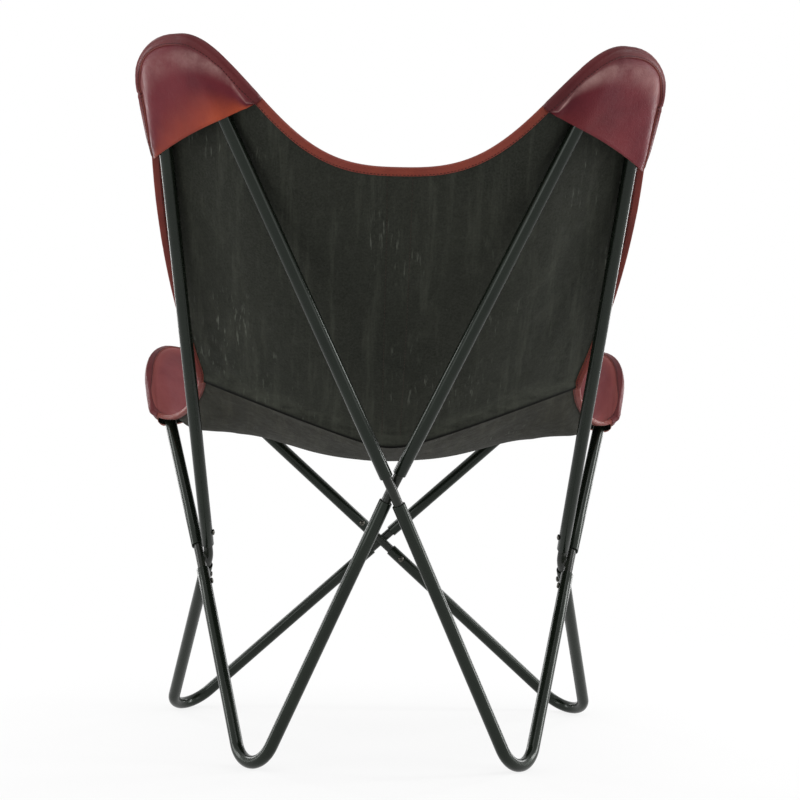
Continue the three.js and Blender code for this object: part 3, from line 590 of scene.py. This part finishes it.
def connector(name, key, first, second):
    loops, legs = ([tubes[(*at, is_loop)] for at in (first, second)] for is_loop in (True, False))
    skins = [rod_skin(upper, lower, key) for upper, lower in zip(loops, reversed(legs))]
    skins.append(weld_skin(*[loop[key] for loop in loops]))
    verts, faces = [], []
    for points, skin in skins:
        base = len(verts)
        verts += points
        faces += [tuple(i + base for i in face) for face in skin]
    make(f"{name}_rods", verts, faces, [rod_paint], "frame_paint", name)


for end in ENDS:
    connector(f"{end}_cross", "a", (end, -1), (end, 1))
for side in SIDES:
    connector(f"{SIDE_NAME[side]}_cross", "b", ("rear", side), ("front", side))

# Sling. Its borders and pockets follow the planes of the loops.

UP = Vector((0, 0, 1))
pockets = {}
for end, side in CORNERS:
    tube = tubes[end, side, True]
    bend = tube["bend"]
    apex = corner_point(bend, 0)
    pockets[end, side] = SimpleNamespace(
        apex=apex, core=apex + bend.axis * POCKET_DEPTH, down=bend.axis, across=bend.across,
        normal=facing(UP, unit(bend.axis.cross(bend.across))),
        line=[tube["a"], *corner_arc(bend, 24), tube["b"]])


def pocket_point(pocket, across, down, lift=SEAM_LIFT):
    return pocket.apex + pocket.across * across + pocket.down * down + pocket.normal * lift


def free_edge(t, middle, apex, pocket, start):
    """Flat in the middle, steepest on the way up and flat again over the pocket."""
    along, low = middle

    def height(r):
        return mix(low, apex.z, (1 - cos(pi * r ** 1.5)) / 2)

    normal = pocket.normal
    off = Vector((apex.x * start, pocket.apex.y, height(start))) - pocket.apex
    start_run = pocket.apex.y + (INNER_LIFT - off.dot(normal)) / normal.y - along
    apex_run = apex.y - along
    fourth = (start_run - apex_run * start ** 2) / (start ** 4 - start ** 2)
    return Vector((apex.x * t, along + (apex_run - fourth) * t ** 2 + fourth * t ** 4, height(t)))


def end_border(end, side, s):
    """The top or front border, from 0 at the middle to 1 at the pocket's shoulder."""
    pocket, outline = pockets[end, side], POCKET[end]
    if s <= POCKET_APEX:
        tip = pocket_point(pocket, *outline["apex"])
        return free_edge(s / POCKET_APEX, END_MIDDLE[end], tip, pocket, POCKET_START[end] / POCKET_APEX)
    t = (s - POCKET_APEX) / (1 - POCKET_APEX)
    apex, shoulder = (Vector((*outline[key], 0)) for key in ("apex", "shoulder"))
    if end == "rear":
        turn = pi / 2 * t
        across, down = mix(apex.x, shoulder.x, sin(turn)), mix(shoulder.y, apex.y, cos(turn))
        return pocket_point(pocket, across, down)
    point = bezier([apex, Vector((*outline["bulge"], 0)), shoulder], t)
    return pocket_point(pocket, point.x, point.y)


def crease(side, s):
    e = CREASE_ROUNDING
    rise = (hypot(s, e) - e) / (hypot(1, e) - e)
    (along, height), (half, end_along, end_height) = CREASE_MIDDLE, CREASE_END
    return Vector((side * half * s, mix(along, end_along, s * s), mix(height, end_height, rise)))


def side_border(end, side, v):
    """A side border, from 0 at the pocket's shoulder to 1 at the crease."""
    stop = crease(side, 1)
    if end == "front":
        start = end_border(end, side, 1)
        reach = start.y - stop.y
        (inwards, dip), (outwards, drop) = SEAT_SIDE_FRONT, SEAT_SIDE_REAR
        return bezier([start, start + Vector((-side * inwards, -reach * 0.06, -dip)),
                       stop + Vector((side * outwards, reach * 0.36, -drop)), stop], v)
    pocket, outline = pockets[end, side], POCKET[end]
    top, low = (pocket_point(pocket, *outline[key]) for key in ("shoulder", "corner"))
    share = SEAM_END[end]
    if v <= share:
        return mix(top, low, v / share)
    span = (stop - low).length / 3
    leave = unit(sided(side, SIDE_CROSSING) - top_of(end, side))
    arrive = unit(Vector((-side * 0.12, 0.72, -0.68)))
    upper, lower = (Vector((side * bow, 0, 0)) for bow in BACK_SIDE_BOW)
    controls = [low, low + leave * span + upper, stop - arrive * span + lower, stop]
    return bezier(controls, (v - share) / (1 - share))


def nearest_on(line, point):
    """The distance of a line's nearest point, its place from 0 to 1, and itself."""
    found = []
    for i, (a, b) in enumerate(zip(line, line[1:])):
        step = b - a
        at = a + step * clamp((point - a).dot(step) / step.length_squared)
        found.append(((at - point).length, i / (len(line) - 2), at))
    return min(found, key=lambda spot: spot[0])


def clear_tube(pocket, point, sign, ease=5.0):
    """Moves a point softly off the loop's plane, as far as the tube asks."""
    height = (point - pocket.apex).dot(pocket.normal)
    foot = point - pocket.normal * height
    distance, place, at = nearest_on(pocket.line, foot)
    inside = (foot - at).dot(pocket.core - at) > 0
    side_reach = ROOM_REACH["inner" if place < 0.5 else "outer"]
    reach = mix(ROOM_REACH["apex"], side_reach, abs(2 * place - 1))
    share = 0 if inside else min(distance / reach, 1)
    room = TUBE_LIFT * (1 - share ** 2)
    have = sign * height
    near = max(ease - abs(have - room), 0) / ease if room > 0 else 0
    want = max(have, room) + near * near * ease / 4
    return point + pocket.normal * (sign * (want - have))


SHARP = 0.01
BORDER_STEP = 0.004


def inset(border, end, side, at):
    """The point one binding width inside a border point."""
    pocket = pockets[end, side]
    point = border(end, side, at)
    if border is end_border:
        far, middle = crease(side, at), max(at, BORDER_STEP)
        core_share, flat_share = smooth((at - 0.4) / 0.3), smooth((at - POCKET_START[end] + 0.05) / 0.2)
    else:
        far, middle = Vector((0, point.y, point.z)), at
        core_share, flat_share = 1 - smooth(at / 0.3), 1 - smooth((at - SEAM_END[end]) / 0.2)
    after, before = min(middle + BORDER_STEP, 1), max(middle - BORDER_STEP, 0)
    tangent = unit(border(end, side, after) - border(end, side, before))
    free = facing(UP, unit(tangent.cross(far - point)))
    inwards = unit(mix(free, pocket.normal, flat_share).cross(tangent))
    inwards = facing(mix(far, pocket.core, core_share) - point, inwards)
    return clear_tube(pocket, point + inwards * BINDING_WIDTH, 1, SHARP)


# Panels as grids: an inner patch, and a ring of fine columns and rows under the binding.

RING = 4
COLUMNS = 64
ROWS = 72
MIDDLE = COLUMNS + RING
LAST_COLUMN = 2 * MIDDLE
LAST_ROW = ROWS + RING
CORNER_ROWS = 0.05
CORNER_FADE = 0.08
CREASE_FADE = 0.06
COLUMN_SHARES = [i / COLUMNS for i in range(COLUMNS + 1)]
# rows lie closer near the end border
ROW_SHARES = [0.45 * (j / ROWS) + 0.55 * (j / ROWS) ** 1.6 for j in range(ROWS + 1)]


def hang(across, along):
    """How far the slack seat hangs below the surface between its borders."""
    middle, side = SEAT_SLACK
    depth = middle + side * across ** 2.2
    return depth * (1 - across ** 10) * sin(pi * along ** 0.8) ** 1.3


def patch_borders(end, side):
    """Borders of half the inner patch: at the end, at the crease and at the side."""
    ring_share = RING_SHARE[end]
    knee = KNEE_SHARE / LAST_SHARE
    ends = []
    for c in COLUMN_SHARES:
        s = c * LAST_SHARE if c <= knee else mix(KNEE_SHARE, 1, (c - knee) / (1 - knee))
        ends.append(inset(end_border, end, side, s))
    start = ends[-1] - inset(side_border, end, side, 0)
    sides = []
    for w in ROW_SHARES:
        v = mix(ring_share, 1, w) if w > CORNER_ROWS else mix(ring_share, 1, CORNER_ROWS) * w / CORNER_ROWS
        sides.append(inset(side_border, end, side, v) + start * (1 - smooth(w / CORNER_FADE)))
    width = 1 - BINDING_WIDTH / CREASE_END[0]
    bottoms = [crease(side, c * width) for c in COLUMN_SHARES]
    sides[-1] = bottoms[-1]
    sides[0] = ends[-1]
    return ends, bottoms, sides


def inner_patch(end):
    """The panel inside its binding, blended from its borders and lifted over the tubes."""
    left, right = (patch_borders(end, side) for side in SIDES)
    ends, bottoms = ([*reversed(a[1:]), *b] for a, b in zip(left[:2], right[:2]))
    last = 2 * COLUMNS
    patch = []
    for j, w in enumerate(ROW_SHARES):
        row = []
        fade = smooth((1 - w) / CREASE_FADE)
        for i in range(last + 1):
            u = i / last
            point = mix(ends[i], bottoms[i], w) + mix(left[2][j], right[2][j], u)
            point -= mix(mix(ends[0], ends[-1], u), mix(bottoms[0], bottoms[-1], u), w)
            if end == "front" and 0 < w < 1:
                point.z -= hang(abs(2 * u - 1), w)
            if fade > 0 and j > 0 and 0 < i < last:
                pocket = pockets[end, -1 if i < COLUMNS else 1]
                point = mix(point, clear_tube(pocket, point, 1), fade)
            row.append(point)
        patch.append(row)
    return patch


def ring_corner(end, side, inside, h):
    """A row of the ring's corner, a Coons patch, from the inside to the side border."""
    ring_share = RING_SHARE[end]
    end_stop, tip = end_border(end, side, LAST_SHARE), end_border(end, side, 1)
    side_start, out_edge = side_border(end, side, ring_share), side_border(end, side, ring_share * (1 - h))
    from_top = mix(inside, end_stop, h)
    cells = []
    for r in range(1, RING + 1):
        g = r / RING
        from_side = mix(mix(inside, side_start, g), end_border(end, side, mix(LAST_SHARE, 1, g)), h)
        cells.append(from_side + mix(from_top, out_edge, g) - mix(from_top, mix(side_start, tip, h), g))
    return cells


def panel_grid(end):
    """Points row by row from the end border to the crease, from left to right."""
    patch = inner_patch(end)
    grid = []
    for q in range(RING):
        h = 1 - q / RING
        row = []
        for i in range(-COLUMNS, COLUMNS + 1):
            edge = end_border(end, -1 if i < 0 else 1, COLUMN_SHARES[abs(i)] * LAST_SHARE)
            row.append(mix(patch[0][i + COLUMNS], edge, h))
        left, right = (ring_corner(end, side, patch[0][at], h) for side, at in zip(SIDES, (0, -1)))
        grid.append([*reversed(left), *row, *right])
    for row, w in zip(patch, ROW_SHARES):
        edges = [side_border(end, side, mix(RING_SHARE[end], 1, w)) for side in SIDES]
        left, right = ([mix(row[at], edge, q / RING) for q in range(1, RING + 1)]
                       for at, edge in zip((0, -1), edges))
        grid.append([*reversed(left), *row, *right])
    return grid


def grid_normals(grid):
    last_row, last = len(grid) - 1, len(grid[0]) - 1

    def normal(j, i):
        down = grid[min(j + 1, last_row)][i] - grid[max(j - 1, 0)][i]
        over = grid[j][min(i + 1, last)] - grid[j][max(i - 1, 0)]
        return unit(down.cross(over))

    return [[normal(j, i) for i in range(last + 1)] for j in range(last_row + 1)]


def sheet_mesh(name, node, grid, offsets, materials, tags, dark_end=False):
    """A closed sheet with materials for its outer face, inner face and rim."""
    rows, columns = len(grid), len(grid[0])
    verts = [grid[j][i] + offsets[j][i] * s for s in (1, -1) for j in range(rows) for i in range(columns)]
    under = rows * columns
    faces, index = [], []
    for j in range(rows - 1):
        for i in range(columns - 1):
            a = j * columns + i
            c = a + columns
            faces += [(a, c, c + 1, a + 1), (under + a, under + a + 1, under + c + 1, under + c)]
            index += [0, 1]
    last_row = under - columns
    rim = [*range(columns - 1), *range(columns - 1, under - 1, columns)]
    rim += [*range(under - 1, last_row, -1), *range(last_row, 0, -columns)]
    for a, b in zip(rim, rim[1:] + rim[:1]):
        faces.append((a, b, under + b, under + a))
        index.append(0 if dark_end and min(a, b) >= last_row else 2)
    flat = range(len(faces) - len(rim), len(faces))
    tags = {tag: [v for row in values for v in row] * 2 for tag, values in tags.items()}
    return make(name, verts, faces, materials, "sling_leather", node, index, flat, **tags)


back, seat = panel_grid("rear"), panel_grid("front")
for row in seat:
    row.reverse()

# Waves of each panel: shift in the noise, slack share at the crease
WAVES = {"rear": (3, 0.12), "front": (9, 0.2)}
LONG_WAVE = 1.6
FINE_WAVE = 0.5
SLACK_WAVE = 1.2


def soften(grid, end):
    """Light waves: long falls from the pockets, and slack near the crease."""
    normals = grid_normals(grid)
    shift, slack_share = WAVES[end]
    for j in range(RING + 1, LAST_ROW):
        slack = exp(-((1 - (j - RING) / ROWS) / slack_share) ** 2)
        held = smooth((j - RING) / 14) * smooth((LAST_ROW - j) / 6)
        for i in range(RING + 1, LAST_COLUMN - RING):
            p = grid[j][i]
            hold = held * smooth((min(i, LAST_COLUMN - i) - RING) / 10)
            wave = noise.noise(Vector((p.x * 0.013, p.y * 0.004, p.z * 0.004 + shift)))
            fine = noise.noise(Vector((p.x * 0.035 + 5, p.y * 0.02, p.z * 0.02)))
            height = LONG_WAVE * wave + FINE_WAVE * fine + SLACK_WAVE * slack * fine
            grid[j][i] = p + normals[j][i] * hold * height


soften(back, "rear")
soften(seat, "front")
back_normals, seat_normals = grid_normals(back), grid_normals(seat)
back_offsets, seat_offsets = ([[n * (LEATHER / 2) for n in row] for row in normals]
                              for normals in (back_normals, seat_normals))

# Back and seat meet at the crease in a mitre, where the back's end stands up a little.
BACK_RISE = 0.9
BACK_RISE_START = 0.6
SEAT_TUCK = 0.4
for i in range(LAST_COLUMN + 1):
    m = LAST_COLUMN - i
    over, under = back_normals[-1][i], seat_normals[-1][m]
    mitre = unit(over + under)
    offset = mitre * (LEATHER / 2 / max(mitre.dot(over), 0.5))
    back_offsets[-1][i], seat_offsets[-1][m] = offset.copy(), offset.copy()
    forwards = square_to(mitre, under - over)
    back[-1][i] = back[-1][i] - forwards * SEAT_GAP + mitre * BACK_RISE
    back[-2][i] = back[-2][i] + over * BACK_RISE_START
    seat[-1][m] = seat[-1][m] + forwards * SEAT_GAP - mitre * SEAT_TUCK

FOLD_ROWS = 5


def panel_piece(name, node, grid, offsets, outer, warm_cells):
    """Tags say how near the borders and the crease a point is."""
    tags = {"warm": [], "fold": []}
    for j in range(LAST_ROW + 1):
        inwards = [min(j, i, LAST_COLUMN - i) for i in range(LAST_COLUMN + 1)]
        tags["warm"].append([clamp(1 - cells / warm_cells) for cells in inwards])
        tags["fold"].append([clamp(1 - (LAST_ROW - j) / FOLD_ROWS)] * len(inwards))
    return sheet_mesh(name, node, grid, offsets, [outer, seat_wine, edge_wine], tags, True)


back_obj = panel_piece("back_leather", "back_panel", back, back_offsets, flesh, 16.25)
seat_obj = panel_piece("seat_leather", "seat_panel", seat, seat_offsets, flesh_seat_painted_bounce_light, 8.75)

# Places along the borders: a border point, the point one binding width in, and their normals.


def place(grid, normals, j, i, inner_j, inner_i):
    return SimpleNamespace(edge=grid[j][i], edge_normal=normals[j][i],
                           inner=grid[inner_j][inner_i], inner_normal=normals[inner_j][inner_i])


def panel_of(end):
    return (back, back_normals, 1) if end == "rear" else (seat, seat_normals, -1)


def end_place(end, i):
    """A place on the end border, i columns right of the middle."""
    grid, normals, turn = panel_of(end)
    held = int(clamp(i, -COLUMNS, COLUMNS))
    return place(grid, normals, 0, MIDDLE + turn * i, RING, MIDDLE + turn * held)


def side_place(end, side, j):
    grid, normals, turn = panel_of(end)
    is_last = side * turn > 0
    i = LAST_COLUMN if is_last else 0
    return place(grid, normals, j, i, max(j, RING), i - RING if is_last else RING)


POCKET_COLUMN = {end: round(COLUMNS * start / LAST_SHARE) for end, start in POCKET_START.items()}


def seam_rows(end):
    ring_share = RING_SHARE[end]
    want = (SEAM_END[end] - ring_share) / (1 - ring_share)
    return RING + min(range(ROWS + 1), key=lambda j: abs(ROW_SHARES[j] - want))


# Flaps, skived thin towards both ends of their seam. Rows from the seam to the free edge.

SEWN = 0.1
FREE_ROWS = 26
FLAP_ROWS = [0, 0.034, 0.067, SEWN] + [mix(SEWN, 1, (k + 1) / FREE_ROWS) for k in range(FREE_ROWS)]
SKIVED_HALF = 0.3
SKIVE_LENGTH = 24
LIFT_LENGTH = 7
FLAP_ROOM = (-1.6 * TUBE_LIFT, -1.15 * TUBE_LIFT)
BULGE = 0.7


def flap_of(end, side):
    """The grid of a flap, its normals and the places of its seam."""
    pocket = pockets[end, side]
    normal = pocket.normal
    seam = [end_place(end, side * i) for i in range(POCKET_COLUMN[end], MIDDLE + 1)]
    seam += [side_place(end, side, j) for j in range(1, seam_rows(end) + 1)]
    runs = run_lengths([s.edge for s in seam])
    for s, run in zip(seam, runs):
        s.half = mix(SKIVED_HALF, LEATHER / 2, smooth(min(run, runs[-1] - run) / SKIVE_LENGTH))
        s.layer = LEATHER / 2 + SEAT_GAP + s.half
        s.top = s.edge + s.edge_normal * s.layer
        s.inwards = square_to(normal, s.inner - s.edge) * BINDING_WIDTH
    lengths = run_lengths([s.top for s in seam])

    def on_panel(s, width):
        share = width / BINDING_WIDTH
        outwards = mix(s.edge_normal, s.inner_normal, share)
        return mix(s.edge, s.inner, share) + outwards * s.layer

    near, far = (pocket_point(pocket, *at, lift) for at, lift in zip(FLAP_CURVE[end], FLAP_ROOM))
    controls = [on_panel(seam[0], FLAP_END_WIDTH), near, far,
                seam[-1].top + seam[-1].inwards * (FLAP_END_WIDTH / BINDING_WIDTH)]
    grid = []
    for t in FLAP_ROWS:
        row = []
        share = (t - SEWN) / (1 - SEWN)
        for s, length in zip(seam, lengths):
            if t <= SEWN:
                free = mix(s.top, clear_tube(pocket, s.top + s.inwards, -1), t / SEWN)
                held = on_panel(s, BINDING_WIDTH * t / SEWN)
            else:
                low = bezier(controls, length / lengths[-1])
                free = clear_tube(pocket, mix(s.top + s.inwards, low, share), -1)
                held = on_panel(s, mix(BINDING_WIDTH, FLAP_END_WIDTH, share))
            point = mix(held, free, smooth(length / LIFT_LENGTH))
            # a light bulge and soft dents over the tube
            calm = smooth((t - SEWN) / 0.3) * smooth(length / 40) * smooth((lengths[-1] - length) / 30)
            row.append(point - normal * calm * (BULGE + BULGE * noise.noise(point * 0.03)))
        grid.append(row)
    if grid_normals(grid)[12][len(seam) // 2].dot(normal) > 0:
        grid = [list(reversed(row)) for row in grid]
        seam.reverse()
    return grid, grid_normals(grid), seam


# Bindings, folded round the borders and sewn through both legs.

STRIP_GAP = BINDING_GAP / 2
STRIP_WIDTH = BINDING_WIDTH - 1
STRIP_ROUNDING = 0.45
STRIP_CROWN = 0.1
# a faint painted highlight on every binding strip
STRIP_PAINTED_SHEEN = 0.04
RIM_STEPS = 8


def binding_section(outer, inner, half=LEATHER / 2):
    """The folded strip, from the outer leg round the border to the inner leg."""

    def at(spot, inwards, lift):
        share = inwards / (spot.edge - spot.inner).length
        normal = unit(mix(spot.edge_normal, spot.inner_normal, clamp(share)))
        return mix(spot.edge, spot.inner, share) + normal * lift

    def leg(spot, half, sign):
        """From its cut edge to the fold."""
        low = half + STRIP_GAP
        high = low + BINDING_LEATHER
        crown = high + STRIP_CROWN
        profile = ((STRIP_WIDTH, low), (STRIP_WIDTH, high - STRIP_ROUNDING),
                   (STRIP_WIDTH - STRIP_ROUNDING, high), (STRIP_WIDTH * 0.66, crown),
                   (STRIP_WIDTH * 0.33, crown), (0, high))
        return [at(spot, inwards, sign * lift) for inwards, lift in profile]

    outer_leg, inner_leg = leg(outer, half, 1), leg(inner, LEATHER / 2, -1)
    first, last = outer_leg[-1], inner_leg[-1]
    middle, across = (first + last) / 2, first - last
    away = square_to(unit(across), outer.edge + inner.edge - outer.inner - inner.inner)
    fold = []
    for k in range(1, RIM_STEPS):
        w = pi * k / RIM_STEPS
        reach = (BINDING_GAP + BINDING_LEATHER) * sin(w) ** 0.8
        fold.append(middle + across / 2 * cos(w) + away * reach)
    return [*outer_leg, *fold, *reversed(inner_leg)]


def strip_mesh(name, sections, warm):
    size = len(sections[0])
    verts = [point for section in sections for point in section]
    faces = ring_faces(len(sections), size, caps=True)
    # the cut edges of both legs, and the two ends
    index = [1 if k in (0, size - 2) else 0 for _ in sections[1:] for k in range(size)] + [1, 1]
    flat = range(len(faces) - 2, len(faces))
    return make(f"{name}_strip", verts, faces, [edge_wine, raw_edge], "binding_leather", name, index, flat,
                warm=[warm] * len(verts), sheen=[STRIP_PAINTED_SHEEN] * len(verts))


STITCH = 3.0
PITCH = 4.3
FIRST_STITCH = 0.6
THREAD_RADIUS = 0.42
THREAD_SIDES = 6
# a stitch: share of its length, share of the thread's radius, lift
STITCH_RINGS = ((0, 0.35, -0.25), (0.14, 0.85, 0.05), (0.5, 1.0, 0.2), (0.86, 0.85, 0.05), (1, 0.35, -0.25))


def stitches(name, lines, material):
    """Rows of stitches; a line holds (point, outward normal)."""
    verts, faces = [], []
    for line in lines:
        marks = run_lengths([point for point, _ in line])

        def at(run):
            k = min(bisect_left(marks, run, 1), len(marks) - 1) - 1
            share = clamp((run - marks[k]) / max(marks[k + 1] - marks[k], 1e-6))
            point, normal = (mix(a, b, share) for a, b in zip(line[k], line[k + 1]))
            return point, unit(normal)

        for c in range(int(marks[-1] / PITCH)):
            start, normal = at(c * PITCH + FIRST_STITCH)
            stop, _ = at(c * PITCH + FIRST_STITCH + STITCH)
            along = unit(stop - start)
            normal = square_to(along, normal)
            axes = normal, along.cross(normal)
            base = len(verts)
            for share, thick, lift in STITCH_RINGS:
                centre = mix(start, stop, share) + normal * lift
                verts += ring(centre, axes, THREAD_RADIUS * thick, THREAD_SIDES)
            faces += ring_faces(len(STITCH_RINGS), THREAD_SIDES, base, caps=True)
    return make(name, verts, faces, [material], "binding_leather")


def stitch_lines(sections):
    """The two stitch rows of a binding, on its outer and on its inner leg."""
    lines = []
    for a, b, opposite in ((2, 3, -1), (-3, -4, 0)):
        points = [mix(section[a], section[b], 0.55) for section in sections]
        lines.append([(p, unit(p - section[opposite])) for p, section in zip(points, sections)])
    return lines


def add_binding(name, sections, warm):
    thread_rows = stitch_lines(sections)
    return [strip_mesh(name, sections, warm), stitches(f"{name}_stitches", thread_rows, wine_thread)]


# How warm the free edge of each flap and each kind of binding is: a painted warm glow of light on the
# flaps, wear on the bindings
FLAP_PAINTED_WARM_LIGHT = {("rear", -1): 1.0, ("rear", 1): 0.08, ("front", -1): 0.2, ("front", 1): 0.2}
POCKET_WARMTH = 0.05
END_WARMTH = 0.55
SIDE_WARMTH = 0.35


def flap_tags(seam, warmth):
    """Painted light: a warm glow at the free edge and a pale highlight over the tube, both more near the
    middle.
    """
    apart = [abs(s.edge.x) for s in seam]
    inwards = [(max(apart) - x) / (max(apart) - min(apart)) for x in apart]
    warm, sheen = [], []
    for t in FLAP_ROWS:
        # painted warm glow of light towards the free edge
        low = warmth * smooth((t - 0.5) / 0.5)
        # painted pale highlight where the flap lies over the tube
        over_tube = smooth((0.42 - t) / 0.28) * smooth((t - 0.07) / 0.08)
        warm.append([low * (0.5 + 0.5 * smooth(w / 0.6)) for w in inwards])
        sheen.append([over_tube * (0.8 + 0.7 * smooth((w - 0.2) / 0.5)) for w in inwards])
    return {"warm": warm, "sheen": sheen}


extras = {"rear": [], "front": []}
for end in ENDS:
    for side in SIDES:
        grid, normals, seam = flap_of(end, side)
        name = f"{end}_{SIDE_NAME[side]}_pocket"
        offsets = [[n * s.half for n, s in zip(row, seam)] for row in normals]
        tags = flap_tags(seam, FLAP_PAINTED_WARM_LIGHT[end, side])
        sheet_mesh(f"{name}_leather", f"{name}_flap", grid, offsets,
                                      [wine, flesh, raw_edge], tags)
        outer_places = [place(grid, normals, 0, k, 3, k) for k in range(len(seam))]
        sections = [binding_section(outer, s, s.half) for outer, s in zip(outer_places, seam)]
        extras[end] += add_binding(f"{name}_binding", sections, POCKET_WARMTH)
    free = range(-POCKET_COLUMN[end], POCKET_COLUMN[end] + 1)
    sections = [binding_section(*[end_place(end, i)] * 2) for i in free]
    edge, part = ("top", "back") if end == "rear" else ("front", "seat")
    extras[end] += add_binding(f"{edge}_edge_binding", sections, END_WARMTH)
    for side in SIDES:
        rows = range(seam_rows(end), LAST_ROW + 1)
        sections = [binding_section(*[side_place(end, side, j)] * 2) for j in rows]
        extras[end] += add_binding(f"{SIDE_NAME[side]}_{part}_side_binding", sections, SIDE_WARMTH)

# Two rows of stitches down the middle of the back, which show on both faces.
MIDDLE_COLUMNS = (MIDDLE - 3, MIDDLE + 3)
rows = []
for i in MIDDLE_COLUMNS:
    for face in (1, -1):
        rows.append([(back[j][i] + back_normals[j][i] * face * (LEATHER / 2), back_normals[j][i] * face)
                     for j in range(RING + 1, LAST_ROW)])
extras["rear"].append(stitches("back_middle_stitches", rows, black_thread))

# Floor and world: plain light on the chair, and white for what the camera sees.

WHITE = (1, 1, 1, 1)
FLOOR_COLOUR = (0.94, 0.94, 0.94, 1)
FLOOR_HALF = 9
FILL_STRENGTH = 0.5
# the floor shows shadows near the chair and is plain white further off
FADE = {"From Min": 0.55, "From Max": 1.5, "To Min": 0.82, "To Max": 1.0}


def emptied_tree(owner):
    owner.use_nodes = True
    owner.node_tree.nodes.clear()
    return owner.node_tree


def seen_rays(tree):
    """1 for what the camera sees, straight or in a gloss or through a glass."""
    path = add_node(tree, "LightPath")
    seen = path["Is Camera Ray"]
    for kind in ("Is Glossy Ray", "Is Transmission Ray"):
        inputs = {0: seen, 1: path[kind]}
        seen = add_node(tree, "Math", inputs, operation="ADD", use_clamp=True)[0]
    return seen


def mixed(tree, share, first, second):
    return add_node(tree, "MixShader", {0: share, 1: first, 2: second})[0]


def floor_material():
    material = bpy.data.materials.new("floor")
    tree = emptied_tree(material)
    diffuse = add_node(tree, "BsdfDiffuse", {"Color": FLOOR_COLOUR})[0]
    glow = add_node(tree, "Emission", {"Color": WHITE, "Strength": 1})[0]
    where = add_node(tree, "TexCoord")["Object"]
    distance = add_node(tree, "VectorMath", {0: where}, operation="LENGTH")["Value"]
    inputs = {**FADE, "Value": distance}
    fade = add_node(tree, "MapRange", inputs, interpolation_type="SMOOTHSTEP")[0]
    seen = mixed(tree, fade, diffuse, glow)
    add_node(tree, "OutputMaterial", {0: mixed(tree, seen_rays(tree), diffuse, seen)})
    return material


floor_mesh = bpy.data.meshes.new("floor")
corners = [(x * FLOOR_HALF, y * FLOOR_HALF, 0) for x, y in ((-1, -1), (1, -1), (1, 1), (-1, 1))]
floor_mesh.from_pydata(corners, [], [(0, 1, 2, 3)])
floor_mesh.materials.append(floor_material())
add_object("floor", floor_mesh)

world = bpy.data.worlds.new("studio")
bpy.context.scene.world = world
tree = emptied_tree(world)
fill, white = (add_node(tree, "Background", {"Color": WHITE, "Strength": strength})[0]
               for strength in (FILL_STRENGTH, 1))
add_node(tree, "OutputWorld", {0: mixed(tree, seen_rays(tree), fill, white)})

# Lamps, in metres and watts


def softbox(name, at, aim, width, height, watts):
    data = bpy.data.lights.new(name, "AREA")
    data.shape = "RECTANGLE"
    data.size = width
    data.size_y = height
    data.energy = watts
    lamp = add_object(name, data)
    lamp.location = at
    lamp.rotation_euler = (Vector(aim) - Vector(at)).to_track_quat("-Z", "Y").to_euler()


BACK_HEIGHT = (0, 0, 0.7)
STRIP_HEIGHT = (0, 0, 0.9)
softbox("overhead", (0.2, -0.6, 3.2), (0, 0, 0.4), 1.8, 1.8, 18)
softbox("left", (-2.3, -2.3, 1.1), BACK_HEIGHT, 1.2, 2.0, 21)
softbox("right", (2.5, -1.9, 1.1), BACK_HEIGHT, 1.0, 2.0, 9)
# tall strips for the lines along the tubes
for side in SIDES:
    softbox(f"{SIDE_NAME[side]}_strip", (side * 2.8, 0.3, 1.15), STRIP_HEIGHT, 0.6, 2.2, 38 + 12 * side)
    softbox(f"{SIDE_NAME[side]}_front_strip", (side * 2.0, 2.2, 1.15), STRIP_HEIGHT, 0.6, 2.0, 22)

# Camera, fitted to the photograph: pixels, millimetres and radians

PHOTO_WIDTH = 800
FOCAL_LENGTH = 2098.9
SENSOR_WIDTH = 36
CAMERA_PLACE = (-67.7, -2786.8, 501.5)
YAW = 0.0297
PITCH_DOWN = 0.0147
ROLL = 0.0173

camera_data = bpy.data.cameras.new("camera")
camera_data.sensor_width = SENSOR_WIDTH
camera_data.lens = SENSOR_WIDTH * FOCAL_LENGTH / PHOTO_WIDTH
camera_data.clip_start = 0.01
camera = add_object("camera", camera_data)
camera.matrix_world = Matrix.Translation(metres(CAMERA_PLACE))
for angle, axis in ((-YAW, "Z"), (pi / 2 - PITCH_DOWN, "X"), (ROLL, "Z")):
    camera.matrix_world @= Matrix.Rotation(angle, 4, axis)
bpy.context.scene.camera = camera
bpy.context.scene.view_settings.view_transform = "Standard"
